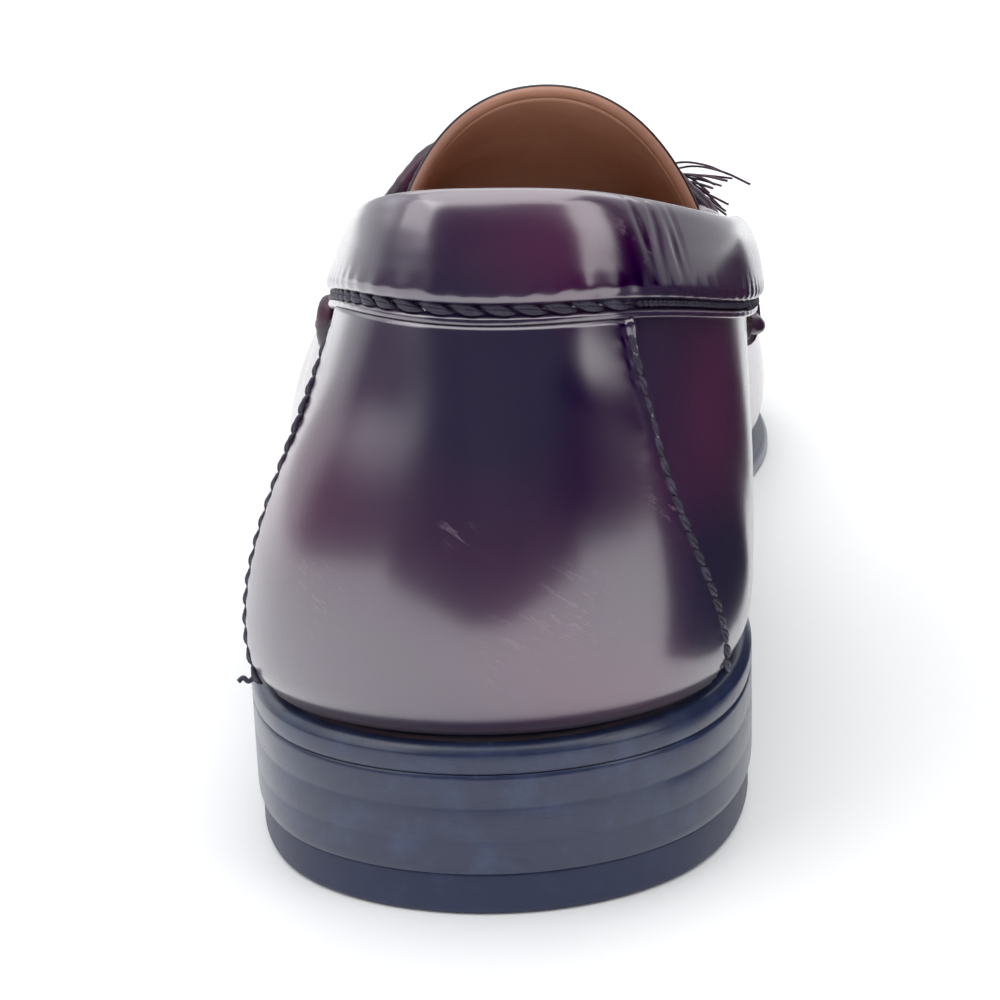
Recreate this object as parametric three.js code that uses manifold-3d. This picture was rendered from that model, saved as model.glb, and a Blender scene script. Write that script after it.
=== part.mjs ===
// A left tassel loafer in polished leather, built on its last, in millimetres.
// +Y runs from heel to toe, +X points to the inner (big toe) side and +Z up.
// The origin is the middle of the heel's flat bottom face, so the floor is z = 0.
import * as THREE from "three";
import { mergeVertices } from "three/addons/utils/BufferGeometryUtils.js";
import Module from "manifold-3d";

const wasm = await Module();
wasm.setup();

// The last, measured on its feather line, where the upper meets the sole
const lastLength = 290;
const ballWidth = 95;
const heelWidth = 64;
const quarterRise = 62; // heel seat to the top of the collar
const vampRise = 26; // feather line to the apron seam at the toe

// The bottom
const heelHeight = 22; // floor to heel seat
const soleThickness = 3.8;
const soleMargin = 2.6; // how far the sole's edge stands out round the forepart
const liftHeight = 5.6; // rubber top lift
const heelTaper = 0.8; // the heel is this much narrower at the floor, each side
const stackTaper = 0.56; // and this much where the lift meets the stack
const breastSetback = 66; // heel back to the heel's front corners
const breastHollow = 4;
const treadStart = 174; // flat of the forepart, from the heel back
const treadEnd = 212;
const toeSpring = 8.5;
const insoleThickness = 2.2;

// The upper
const leather = 2;
const fitGap = 0.3; // between curved pieces that lie on each other
const apronRise = 22; // spine of the apron above the line between its seams, at the throat
const tongueReach = 13; // how far the throat's middle runs back from its corners
const apronFullness = 0.65; // how square the apron is across, from 0.5 for a plain arch
const seamRadius = 1.5; // raised apron seam
const bandHeight = 12;
const bandPadding = 1.9;
const bandClear = 4; // from the throat's corners to the band's ends
const bandTurn = 5; // how far the collar band turns down inside
const counterThickness = 1.1;
const counterOut = { low: 14, high: 26 }; // heel back to the counter's outer seam, at the sole and the top
const counterIn = { low: 15.5, high: 8 };
const counterReach = 0.16; // share of the girth that the overlay is cut from, on each side

// The lace and its tassels
const laceWidth = 3.2;
const knotWidth = 9;
const knotShape = new THREE.Vector3(1.1, 0.9, 0.72); // across, along and up, in knot widths
const wrapTurn = 0.5; // radians, how far the knot's two wraps slant
const knotAt = 0.16; // share of the apron's spine from throat to toe
const laceEnd = 34; // knot to tassel, along the lace
const tasselCap = 11;
const tasselWidth = 8.5;
const fringeLength = 27;
const fringeSpread = 16; // width of the fringe at its tips
const fringeStrips = 10;
const stripWidth = 2.2;
const stripThickness = 1.1;
const tasselTurn = 0.2; // radians, outward from straight ahead

const heelEnd = { wide: heelWidth / 2, tall: quarterRise };
const toeEnd = { wide: ballWidth / 2, tall: vampRise };

// Each rib is one line of the upper's wall, from its foot on the feather line to its edge, which is the
// topline behind the throat and the apron seam in front of it. foot and edge lie across the shoe, in the
// end's half widths; footAt and edgeAt in last lengths; rise in the end's height. out and up are how the
// wall leaves its foot and lean and drop how it reaches its edge, as shares of the rise. margin is in sole
// margins.
const ribColumns = ["foot", "footAt", "edge", "edgeAt", "rise", "out", "up", "lean", "drop", "margin"];
const ribTable = [
  ["heelBack", heelEnd, 0, 0, 0.09, 0.024, 1, 0.13, 0.3, 0.04, 0.36, 0.3],
  ["heelCornerOut", heelEnd, -0.76, 0.036, -0.27, 0.035, 0.99, 0.12, 0.3, 0.04, 0.36, 0.3],
  ["heelSideOut", heelEnd, -1.01, 0.117, -0.47, 0.107, 0.92, 0.08, 0.3, 0.05, 0.34, 0.35],
  ["quarterOut", heelEnd, -1.06, 0.228, -0.59, 0.214, 0.81, 0.08, 0.3, 0.06, 0.32, 0.4],
  ["waistOut", heelEnd, -1.13, 0.355, -0.65, 0.31, 0.8, 0.07, 0.3, 0.08, 0.3, 0.6],
  ["throatOut", toeEnd, -0.87, 0.476, -0.41, 0.4, 2.2, 0.08, 0.28, 0.12, 0.2, 0.8],
  ["vampOut", toeEnd, -1, 0.597, -0.56, 0.538, 1.98, 0.11, 0.3, 0.18, 0.18, 1],
  ["ballOut", toeEnd, -1.02, 0.71, -0.685, 0.662, 1.6, 0.14, 0.36, 0.24, 0.18, 1],
  ["foreOut", toeEnd, -0.905, 0.831, -0.65, 0.783, 1.3, 0.16, 0.42, 0.28, 0.2, 1],
  ["toeCornerOut", toeEnd, -0.56, 0.942, -0.39, 0.883, 1.04, 0.18, 0.5, 0.36, 0.2, 1],
  ["toe", toeEnd, 0.115, 1, 0.09, 0.922, 0.95, 0.2, 0.54, 0.4, 0.2, 1],
  ["toeCornerIn", toeEnd, 0.65, 0.942, 0.485, 0.886, 1.06, 0.18, 0.5, 0.34, 0.2, 1],
  ["foreIn", toeEnd, 0.885, 0.831, 0.67, 0.786, 1.36, 0.16, 0.42, 0.26, 0.2, 1],
  ["ballIn", toeEnd, 0.91, 0.717, 0.67, 0.669, 1.66, 0.12, 0.38, 0.2, 0.2, 1],
  ["vampIn", toeEnd, 0.74, 0.597, 0.62, 0.538, 1.96, 0.07, 0.34, 0.12, 0.2, 0.9],
  ["throatIn", toeEnd, 0.62, 0.469, 0.62, 0.4, 2.15, 0.09, 0.32, 0.08, 0.22, 0.6],
  ["waistIn", heelEnd, 0.88, 0.348, 1.03, 0.31, 0.79, 0.06, 0.32, 0.05, 0.3, 0.4],
  ["quarterIn", heelEnd, 0.95, 0.228, 1.02, 0.214, 0.8, 0.07, 0.3, 0.04, 0.32, 0.35],
  ["heelSideIn", heelEnd, 0.99, 0.117, 0.84, 0.107, 0.89, 0.08, 0.3, 0.03, 0.34, 0.3],
  ["heelCornerIn", heelEnd, 0.72, 0.036, 0.49, 0.041, 0.975, 0.1, 0.3, 0.03, 0.36, 0.3],
];
const ribs = ribTable.map(([name, end, ...values]) => {
  const row = Object.fromEntries(ribColumns.map((column, i) => [column, values[i]]));
  return { name, end, ...row };
});

// The apron's spine, from the throat to just behind the toe: at is in last lengths, rise in apron rises
const spine = [
  { at: 0.4, rise: 1 },
  { at: 0.5, rise: 0.76 },
  { at: 0.6, rise: 0.56 },
  { at: 0.7, rise: 0.41 },
  { at: 0.8, rise: 0.29 },
  { at: 0.88, rise: 0.2 },
];

// The tassel's cap: along in cap lengths, radius in half tassel widths
const capProfile = [
  { along: 0, radius: 0 },
  { along: 0, radius: 0.45 },
  { along: 0.12, radius: 0.8 },
  { along: 0.3, radius: 0.86 },
  { along: 0.34, radius: 1 },
  { along: 0.5, radius: 1 },
  { along: 0.54, radius: 0.9 },
  { along: 1, radius: 0.98 },
  { along: 1, radius: 0 },
];

// How finely the forms are faceted
const wallColumns = 76;
const wallRows = 9;
const apronColumns = 36;
const apronRows = 5;
const heelRows = 12;
const soleRows = 26;
const heelColumns = 28;
const outlinePoints = 240;
const seamSpans = 48;
const laceSpans = 44;
const endSpans = 14;

const origin = breastSetback / 2; // the origin's distance from the heel back
const up = new THREE.Vector3(0, 0, 1);
const clamp = (s) => Math.min(1, Math.max(0, s));
const mix = THREE.MathUtils.lerp;
const steps = (n) => Array.from({ length: n + 1 }, (_, i) => i / n);

// Height of the sole's top above the floor: level under the heel, down the shank, flat at the tread and up
// to the toe
function soleTop(y) {
  const at = y + origin;
  const shank = clamp((at - breastSetback) / (treadStart - breastSetback));
  const seat = (heelHeight - soleThickness) * (0.5 + 0.5 * Math.cos(Math.PI * shank));
  const ahead = Math.max(0, at - treadEnd) / (lastLength - treadEnd);
  return soleThickness + seat + toeSpring * ahead ** 2;
}

// A smooth closed curve through values[i] at knots[i], back to values[0] at the last knot
function closedSpline(knots, values) {
  const n = values.length;
  const wrap = (i) => (i + n) % n;
  const span = values.map((_, i) => knots[i + 1] - knots[i]);
  const slope = values.map((value, i) => (values[wrap(i + 1)] - value) / span[i]);
  const bend = values.map(() => 0);
  for (let sweep = 0; sweep < 60; sweep++) {
    for (let i = 0; i < n; i++) {
      const before = wrap(i - 1);
      const pull = 6 * (slope[i] - slope[before]) - span[before] * bend[before] - span[i] * bend[wrap(i + 1)];
      bend[i] = pull / (2 * (span[before] + span[i]));
    }
  }
  return (u) => {
    const turn = u - Math.floor(u);
    const next = knots.findIndex((knot) => knot > turn);
    const i = next - 1;
    const h = span[i];
    const a = (knots[next] - turn) / h;
    const b = 1 - a;
    const line = a * values[i] + b * values[wrap(next)];
    return line + ((a ** 3 - a) * bend[i] + (b ** 3 - b) * bend[wrap(next)]) * (h * h / 6);
  };
}

const footPlan = ribs.map((r) => new THREE.Vector2(r.foot * r.end.wide, r.footAt * lastLength));
const knots = [0];
footPlan.forEach((p, i) => knots.push(knots[i] + p.distanceTo(footPlan[(i + 1) % ribs.length])));
const girth = knots[ribs.length];
knots.forEach((knot, i) => (knots[i] = knot / girth));
const place = (name) => knots[ribs.findIndex((r) => r.name === name)];
const column = (value) => closedSpline(knots, ribs.map(value));

const footX = column((r) => r.foot * r.end.wide);
const footY = column((r) => r.footAt * lastLength - origin);
const edgeX = column((r) => r.edge * r.end.wide);
const edgeY = column((r) => r.edgeAt * lastLength - origin);
const edgeRise = column((r) => r.rise * r.end.tall);
const out = column((r) => r.out);
const rising = column((r) => r.up);
const lean = column((r) => r.lean);
const drop = column((r) => r.drop);
const margin = column((r) => r.margin);

// The direction away from the shoe, in plan, at u round the feather line
function outward(u) {
  const step = 1e-3;
  const dx = footX(u + step) - footX(u - step);
  const dy = footY(u + step) - footY(u - step);
  return new THREE.Vector3(-dy, dx, 0).normalize();
}

function rib(u) {
  const foot = new THREE.Vector3(footX(u), footY(u), 0);
  foot.z = soleTop(foot.y) + fitGap;
  const rise = edgeRise(u);
  const edge = new THREE.Vector3(edgeX(u), edgeY(u), foot.z + rise);
  const away = outward(u);
  const low = foot.clone().addScaledVector(away, out(u) * rise).addScaledVector(up, rising(u) * rise);
  const high = edge.clone().addScaledVector(away, lean(u) * rise).addScaledVector(up, -drop(u) * rise);
  return new THREE.CubicBezierCurve3(foot, low, high, edge);
}

// A point of the upper's wall: u round the shoe, t from foot (0) to edge (1), and `off` out of the surface
function wall(u, t, off = 0) {
  const point = rib(u).getPoint(t);
  const step = 2e-3;
  const along = rib(u + step).getPoint(t).sub(rib(u - step).getPoint(t));
  return point.addScaledVector(rib(u).getTangent(t).cross(along).normalize(), off);
}

// The same wall by `down`, the distance below its edge; a negative one stands above the edge
function nearEdge(u, down, off) {
  const line = rib(u);
  const point = wall(u, clamp(1 - down / line.getLength()), off);
  return down < 0 ? point.addScaledVector(line.getTangent(1), -down) : point;
}

const throatOut = place("throatOut");
const throatIn = place("throatIn");
const toe = place("toe");
const seamPoint = (u) => rib(u).getPoint(1);

// The apron's spine at s from throat (0) to toe (1), with its slope forward
const spineCurve = (() => {
  const points = spine.map(({ at, rise }, i) => {
    const share = i / (spine.length - 1);
    const outer = seamPoint(mix(throatOut, toe, share));
    const inner = seamPoint(mix(throatIn, toe, share));
    const middle = outer.add(inner).multiplyScalar(0.5);
    const y = at * lastLength - origin - (i === 0 ? tongueReach : 0);
    return new THREE.Vector3(middle.x, y, middle.z + rise * apronRise);
  });
  return new THREE.CatmullRomCurve3(points, false, "centripetal");
})();

function apron(u, v, off = 0) {
  const surface = (a, b) => {
    const s = a < toe ? (a - throatOut) / (toe - throatOut) : (throatIn - a) / (throatIn - toe);
    const ridge = spineCurve.getPoint(clamp(s));
    const slope = spineCurve.getTangent(clamp(s));
    const edge = seamPoint(a);
    const reach = edge.clone().sub(ridge).multiplyScalar(apronFullness);
    reach.y *= clamp(s);
    reach.z = (reach.y * slope.z) / slope.y;
    return new THREE.QuadraticBezierCurve3(edge, ridge.clone().add(reach), ridge).getPoint(b);
  };
  const point = surface(u, v);
  if (off === 0) return point;
  const step = 2e-3;
  const inside = Math.min(v, 1 - step);
  const [a, b] = [Math.max(throatOut, u - step), Math.min(throatIn, u + step)];
  const along = surface(b, inside).sub(surface(a, inside));
  const across = surface(u, inside).sub(surface(u, Math.max(0, inside - step)));
  const normal = across.cross(along).normalize();
  if (v === 1) normal.x = 0;
  return point.addScaledVector(normal.normalize(), off);
}

// Closed meshes from grids of points

class Faces {
  constructor() {
    this.positions = [];
  }
  triangle(a, b, c) {
    for (const p of [a, b, c]) this.positions.push(p.x, p.y, p.z);
  }
  quad(a, b, c, d) {
    this.triangle(a, b, c);
    this.triangle(a, c, d);
  }
  // One closed body, its faces turned outward
  geometry() {
    const raw = new THREE.BufferGeometry();
    raw.setAttribute("position", new THREE.Float32BufferAttribute(this.positions, 3));
    const merged = mergeVertices(raw, 1e-4);
    const index = Array.from(merged.index.array);
    const kept = [];
    for (let i = 0; i < index.length; i += 3) {
      const [a, b, c] = index.slice(i, i + 3);
      if (a !== b && b !== c && c !== a) kept.push(a, b, c);
    }
    const position = merged.getAttribute("position");
    const corner = (i) => new THREE.Vector3().fromBufferAttribute(position, i);
    let volume = 0;
    for (let i = 0; i < kept.length; i += 3) {
      volume += corner(kept[i]).dot(corner(kept[i + 1]).cross(corner(kept[i + 2])));
    }
    merged.setIndex(volume < 0 ? kept.reverse() : kept);
    return merged;
  }
}

// Two matching grids as the two faces of a sheet; closed sheets run all the way round
function slab(outer, inner, closed = false) {
  const faces = new Faces();
  const columns = outer.length;
  const rows = outer[0].length;
  const last = closed ? columns : columns - 1;
  for (let i = 0; i < last; i++) {
    const k = (i + 1) % columns;
    for (let j = 0; j < rows - 1; j++) {
      faces.quad(outer[i][j], outer[i][j + 1], outer[k][j + 1], outer[k][j]);
      faces.quad(inner[i][j], inner[k][j], inner[k][j + 1], inner[i][j + 1]);
    }
    faces.quad(outer[i][0], outer[k][0], inner[k][0], inner[i][0]);
    faces.quad(outer[i][rows - 1], inner[i][rows - 1], inner[k][rows - 1], outer[k][rows - 1]);
  }
  if (!closed) {
    const end = columns - 1;
    for (let j = 0; j < rows - 1; j++) {
      faces.quad(outer[0][j], inner[0][j], inner[0][j + 1], outer[0][j + 1]);
      faces.quad(outer[end][j], outer[end][j + 1], inner[end][j + 1], inner[end][j]);
    }
  }
  return faces.geometry();
}

// A closed section carried along a path; flat is the section in its own plane, for the two ends
function sweep(rings, flat) {
  const faces = new Faces();
  const count = flat.length;
  for (let i = 0; i < rings.length - 1; i++) {
    for (let j = 0; j < count; j++) {
      const k = (j + 1) % count;
      faces.quad(rings[i][j], rings[i][k], rings[i + 1][k], rings[i + 1][j]);
    }
  }
  const turned = THREE.ShapeUtils.isClockWise(flat);
  for (const [a, b, c] of THREE.ShapeUtils.triangulateShape(flat, [])) {
    const [p, q] = turned ? [c, a] : [a, c];
    const first = rings[0];
    const last = rings[rings.length - 1];
    faces.triangle(first[q], first[b], first[p]);
    faces.triangle(last[p], last[b], last[q]);
  }
  return faces.geometry();
}

function solid(geometry) {
  const plain = geometry.clone();
  plain.deleteAttribute("normal");
  plain.deleteAttribute("uv");
  const merged = mergeVertices(plain, 1e-4);
  const vertProperties = new Float32Array(merged.getAttribute("position").array);
  const triVerts = new Uint32Array(merged.index.array);
  return new wasm.Manifold(new wasm.Mesh({ numProp: 3, vertProperties, triVerts }));
}

function fused(geometries) {
  const [first, ...rest] = geometries.map(solid);
  return meshOf(rest.reduce((all, next) => all.add(next), first));
}

function meshOf(body) {
  const { vertProperties, triVerts, numProp } = body.getMesh();
  const points = [];
  for (let i = 0; i < vertProperties.length; i += numProp) points.push(...vertProperties.slice(i, i + 3));
  const geometry = new THREE.BufferGeometry();
  geometry.setAttribute("position", new THREE.Float32BufferAttribute(points, 3));
  geometry.setIndex(Array.from(triVerts));
  return geometry;
}

// Upper: a closed wall round the foot, the apron over it and the raised seam that joins them

function upper() {
  const ring = steps(wallColumns).slice(0, wallColumns);
  const face = (off) => ring.map((u) => steps(wallRows).map((t) => wall(u, t, off)));
  const side = slab(face(0), face(-leather), true);
  const round = steps(apronColumns).map((s) => mix(throatOut, throatIn, s));
  const lid = (off) => round.map((u) => steps(apronRows).map((v) => apron(u, v, off)));
  const cover = slab(lid(0), lid(-leather));
  const seam = new THREE.CatmullRomCurve3(round.map((u) => seamPoint(u)));
  const carried = { steps: seamSpans, extrudePath: seam, bevelEnabled: false };
  const ridge = new THREE.ExtrudeGeometry(disc(seamRadius, 6), carried);
  return fused([side, cover, ridge]);
}

function disc(radius, sides) {
  const middle = new THREE.Vector2();
  const corner = (s) => new THREE.Vector2(radius, 0).rotateAround(middle, s * 2 * Math.PI);
  return new THREE.Shape(steps(sides).slice(0, sides).map(corner));
}

// Collar band: padded outside, rolled over the topline and turned down inside. down is the distance below
// the topline and off the distance out of the wall.
function collarBand() {
  const face = fitGap + bandPadding;
  const lining = -leather - 2 * fitGap;
  const section = [
    { down: bandHeight, off: fitGap },
    { down: bandHeight, off: fitGap + bandPadding * 0.5 },
    { down: bandHeight * 0.85, off: face * 0.9 },
    { down: bandHeight * 0.5, off: face },
    { down: bandHeight * 0.15, off: face * 0.9 },
    { down: -fitGap - bandPadding * 0.5, off: 0 },
    { down: -fitGap - bandPadding * 0.5, off: -leather },
    { down: bandTurn * 0.3, off: lining - bandPadding * 0.6 },
    { down: bandTurn, off: lining - bandPadding * 0.5 },
    { down: bandTurn, off: lining },
    { down: -fitGap, off: lining },
    { down: -fitGap, off: fitGap },
    { down: bandHeight * 0.25, off: fitGap },
    { down: bandHeight * 0.6, off: fitGap },
  ];
  const flat = section.map(({ down, off }) => new THREE.Vector2(off, -down));
  const clear = bandClear / girth;
  const [start, end] = [throatIn + clear, 1 + throatOut - clear];
  const turns = steps(2 * wallColumns).map((s) => 2 * s);
  const shared = turns.filter((u) => u > start + clear / 2 && u < end - clear / 2);
  const rings = [start, ...shared, end].map((u) => section.map(({ down, off }) => nearEdge(u, down, off)));
  return sweep(rings, flat);
}

// The foot outline, `extra` outside the feather line
function outline(u, extra) {
  const away = outward(u);
  return new THREE.Vector2(footX(u) + away.x * extra, footY(u) + away.y * extra);
}

// A flat layer between two heights: rows from heel to toe across the outline that `extra` gives
function layer(extra, low, high) {
  const loop = steps(outlinePoints).map((u) => outline(u, extra(u)));
  const ys = loop.map((p) => p.y);
  const [back, front] = [Math.min(...ys), Math.max(...ys)];
  const tip = ys.indexOf(front);
  const crossing = (chain, y) => {
    const i = chain.findIndex((p, k) => k > 0 && (chain[k - 1].y - y) * (p.y - y) <= 0);
    const [a, b] = [chain[i - 1], chain[i]];
    return mix(a.x, b.x, b.y === a.y ? 0 : (y - a.y) / (b.y - a.y));
  };
  const sides = [loop.slice(0, tip + 1), loop.slice(tip)];
  const trim = 0.15;
  const breast = breastSetback - origin;
  const behind = steps(heelRows).map((s) => mix(back + trim, breast, 1 - Math.cos((Math.PI / 2) * s)));
  const ahead = steps(soleRows).map((s) => mix(breast, front - trim, Math.sin((Math.PI / 2) * s)));
  const rows = [...behind, ...ahead.slice(1)].map((y) => {
    const [left, right] = sides.map((chain) => crossing(chain, y));
    return steps(2).map((k) => ({ x: mix(left, right, k), y }));
  });
  const face = (height) => rows.map((row) => row.map(({ x, y }) => new THREE.Vector3(x, y, height(y))));
  return slab(face(high), face(low));
}

// A block under the heel, from the outline to the breast's hollow arc; the insets narrow its two faces
function heelBlock(low, high, lowInset, highInset) {
  const front = breastSetback - origin;
  const corner = (from, to) => {
    let [a, b] = [from, to];
    for (let i = 0; i < 30; i++) {
      const middle = (a + b) / 2;
      if (footY(middle) < front) a = middle;
      else b = middle;
    }
    return a;
  };
  const [uOut, uIn] = [corner(0, place("waistOut")), corner(1, place("waistIn"))];
  const ring = (inset, z) => {
    const around = steps(heelColumns).map((s) => {
      const u = mix(uOut, uIn - 1, s);
      return outline(u, soleMargin * margin(u) - inset);
    });
    const [first, last] = [around[0], around[heelColumns]];
    const breast = steps(6).slice(1, 6).map((s) => {
      const y = mix(last.y, first.y, s) - breastHollow * 4 * s * (1 - s);
      return new THREE.Vector2(mix(last.x, first.x, s), y);
    });
    return [...around, ...breast].map((p) => new THREE.Vector3(p.x, p.y, z));
  };
  const rings = [ring(lowInset, low), ring(highInset, high)];
  return sweep(rings, rings[0].map((p) => new THREE.Vector2(p.x, p.y)));
}

// Back counter: an overlay on the wall's own facets, from the sole up to the band, cut at its slanted seams
function backCounter() {
  const columns = Math.ceil(wallColumns * counterReach);
  const rows = Math.round((1 - bandHeight / quarterRise) * wallRows);
  const face = (off) => steps(2 * columns).map((s) => steps(rows).map((k) => {
    const u = (2 * s - 1) * (columns / wallColumns);
    const top = 1 - (bandHeight + fitGap) / rib(u).getLength();
    return wall(u, k === 1 ? top : Math.max(counterThickness / quarterRise, k * rows / wallRows), off);
  }));
  const shell = slab(face(fitGap + counterThickness), face(fitGap));
  const inner = behindSeam(counterIn);
  const outer = behindSeam(counterOut).translate(-heelWidth, 0, 0);
  return meshOf(solid(shell).intersect(solid(fused([inner, outer]))));
}

// All that lies behind a slanted seam, from the shoe's middle inward
function behindSeam({ low, high }) {
  const [floor, ceiling] = [0, heelHeight + quarterRise];
  const slant = (high - low) / (ceiling - bandHeight - heelHeight);
  const seam = (z) => low - origin + slant * (z - heelHeight);
  const side = new THREE.Shape([
    new THREE.Vector2(-lastLength, floor),
    new THREE.Vector2(seam(floor), floor),
    new THREE.Vector2(seam(ceiling), ceiling),
    new THREE.Vector2(-lastLength, ceiling),
  ]);
  const block = new THREE.ExtrudeGeometry(side, { depth: heelWidth, bevelEnabled: false });
  return block.rotateX(Math.PI / 2).rotateZ(Math.PI / 2);
}

// What lies on the vamp follows the upper's top, found from above

const upperForm = upper();
const upperTop = new THREE.Mesh(upperForm);
const probe = new THREE.Raycaster();

function topHeight(x, y) {
  probe.set(new THREE.Vector3(x, y, lastLength), new THREE.Vector3(0, 0, -1));
  return probe.intersectObject(upperTop)[0].point.z;
}

// The point `off` out of the upper's top at x, y, and the way out of it there
function resting(x, y, off) {
  const step = laceWidth;
  const slopeX = (topHeight(x + step, y) - topHeight(x - step, y)) / (2 * step);
  const slopeY = (topHeight(x, y + step) - topHeight(x, y - step)) / (2 * step);
  const normal = new THREE.Vector3(-slopeX, -slopeY, 1).normalize();
  return { normal, point: new THREE.Vector3(x, y, topHeight(x, y)).addScaledVector(normal, off) };
}

function tube(points, radius, count) {
  const path = new THREE.CatmullRomCurve3(points, false, "centripetal");
  return new THREE.ExtrudeGeometry(disc(radius, 8), { steps: count, extrudePath: path, bevelEnabled: false });
}

const laceLift = laceWidth / 2 + 2 * fitGap;
const knotSpot = spineCurve.getPoint(knotAt);

// A point `off` out of the raised seam, midway between the wall's way out and the apron's
function overSeam(u, off) {
  const point = seamPoint(u);
  const ways = [wall(u, 1, 1), apron(u, 0, 1)].map((p) => p.sub(point).normalize());
  return point.addScaledVector(ways[0].add(ways[1]).normalize(), off);
}

// Lace: from its slot under the band along the quarter, up over the seam and over the apron to the knot.
// from and to are ribs and share the way between them; down is below the wall's edge, in lace depths, and
// inward is the way from the seam to the apron's spine.
const laceDepth = bandHeight + laceWidth;
const laceBeside = [
  { from: "quarter", to: "waist", share: 0.5, down: 1 },
  { from: "waist", to: "throat", share: 0.1, down: 1 },
  { from: "waist", to: "throat", share: 0.8, down: 1 },
  { from: "throat", to: "vamp", share: 0.15, down: 0.66 },
  { from: "throat", to: "vamp", share: 0.32, down: 0.3 },
];
const laceOver = [
  { share: 0.5, inward: 0.16 },
  { share: 0.6, inward: 0.4 },
  { share: 0.7, inward: 0.7 },
];
const laceCrossing = 0.42; // throat to vamp, where the lace crosses the seam

function laceRoute(side) {
  const between = (from, to, share) => mix(place(from + side), place(to + side), share);
  return [
    ...laceBeside.map(({ from, to, share, down }) => {
      return nearEdge(between(from, to, share), down * laceDepth, laceLift + (down < 0.5 ? fitGap : 0));
    }),
    overSeam(between("throat", "vamp", laceCrossing), laceLift + seamRadius),
    ...laceOver.map(({ share, inward }) => {
      return apron(between("throat", "vamp", share), inward, laceLift + (inward < 0.5 ? fitGap : 0));
    }),
  ];
}

const sides = {
  out: { way: -1, route: laceRoute("Out") },
  in: { way: 1, route: laceRoute("In") },
};
const laceMiddle = resting(knotSpot.x, knotSpot.y, laceLift).point;
const laceLine = [...sides.out.route, laceMiddle, ...sides.in.route.reverse()];

function knot() {
  const { point, normal } = resting(knotSpot.x, knotSpot.y, laceLift + knotWidth * 0.28);
  const ball = new THREE.SphereGeometry(knotWidth / 2, 10, 7);
  ball.scale(...knotShape);
  const wraps = [-1, 1].map((way) => {
    const turn = new THREE.TorusGeometry(knotWidth * 0.36, laceWidth * 0.42, 5, 12);
    turn.rotateY(Math.PI / 2);
    turn.rotateZ(way * wrapTurn);
    turn.translate(way * laceWidth * 0.55, 0, 0);
    return turn;
  });
  const tied = fused([ball, ...wraps]);
  tied.applyQuaternion(new THREE.Quaternion().setFromUnitVectors(up, normal));
  tied.translate(point.x, point.y, point.z);
  return meshOf(solid(tied).subtract(solid(tube(laceLine, laceWidth / 2 + fitGap, laceSpans))));
}

// The free end on each side, from the knot forward to its tassel: across and ahead of the knot in lace ends,
// and lift over the vamp in lace lifts
const endTable = [
  { across: 0.06, ahead: 0.122, lift: 2 },
  { across: 0.25, ahead: 0.28, lift: 1.2 },
  { across: 0.4, ahead: 0.46, lift: 1 },
  { across: 0.42, ahead: 0.66, lift: 1 },
  { across: 0.37, ahead: 0.86, lift: 1.3 },
];

function freeEnd(way) {
  return endTable.map(({ across, ahead, lift }) => {
    return resting(knotSpot.x + way * across * laceEnd, knotSpot.y + ahead * laceEnd, lift * laceLift).point;
  });
}

// Tassel: a wound cap on the end of the lace, and a fringe of strips that lie on the vamp and spread
function tassel(way) {
  const last = endTable[endTable.length - 1];
  const start = new THREE.Vector2(way * last.across, last.ahead).multiplyScalar(laceEnd).add(knotSpot);
  const heading = new THREE.Vector2(0, 1).rotateAround(new THREE.Vector2(), -way * tasselTurn);
  const beside = new THREE.Vector2(heading.y, -heading.x);
  const spot = (ahead, aside, off) => {
    const plan = start.clone().addScaledVector(heading, ahead).addScaledVector(beside, aside);
    return resting(plan.x, plan.y, off);
  };
  const capLift = tasselWidth / 2 + 2 * fitGap;
  const capStart = spot(2 * fitGap, 0, capLift).point;
  const capEnd = spot(2 * fitGap + tasselCap, 0, capLift).point;
  const axis = capEnd.clone().sub(capStart);
  const ahead = new THREE.Vector3(0, 1, 0);
  const turned = new THREE.Quaternion().setFromUnitVectors(ahead, axis.clone().normalize());
  const profile = capProfile.map(({ along, radius }) => {
    return new THREE.Vector2(radius * tasselWidth / 2, (along - 0.5) * axis.length());
  });
  const cap = new THREE.LatheGeometry(profile, 12);
  cap.applyQuaternion(turned);
  const middle = capStart.clone().add(capEnd).multiplyScalar(0.5);
  cap.translate(middle.x, middle.y, middle.z);
  const strips = steps(fringeStrips - 1).map((share, i) => {
    const fan = 2 * share - 1;
    const high = stripThickness * (i % 2 ? 1.4 : 0);
    const rings = steps(5).map((s) => {
      const ahead = tasselCap * 0.8 + s * (fringeLength + tasselCap * 0.2);
      const aside = fan * mix(tasselWidth * 0.36, fringeSpread / 2, s);
      const off = mix(capLift + high * 0.4, stripThickness / 2 + 4 * fitGap + high, Math.sqrt(s));
      const { point, normal } = spot(ahead, aside, off);
      const half = new THREE.Vector3(beside.x, beside.y, 0).projectOnPlane(normal).setLength(stripWidth / 2);
      const thick = normal.clone().multiplyScalar(stripThickness / 2);
      return [[-1, -1], [1, -1], [1, 1], [-1, 1]].map(([a, b]) => {
        return point.clone().addScaledVector(half, a).addScaledVector(thick, b);
      });
    });
    const square = [[-1, -1], [1, -1], [1, 1], [-1, 1]].map(([a, b]) => new THREE.Vector2(a, b));
    return sweep(rings, square);
  });
  return fused([cap, ...strips]);
}

const parts = new THREE.Group();
function add(name, geometry, color, roughness, metalness = 0) {
  const mesh = new THREE.Mesh(geometry, new THREE.MeshStandardMaterial({ color, roughness, metalness }));
  mesh.name = name;
  parts.add(mesh);
}

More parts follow.
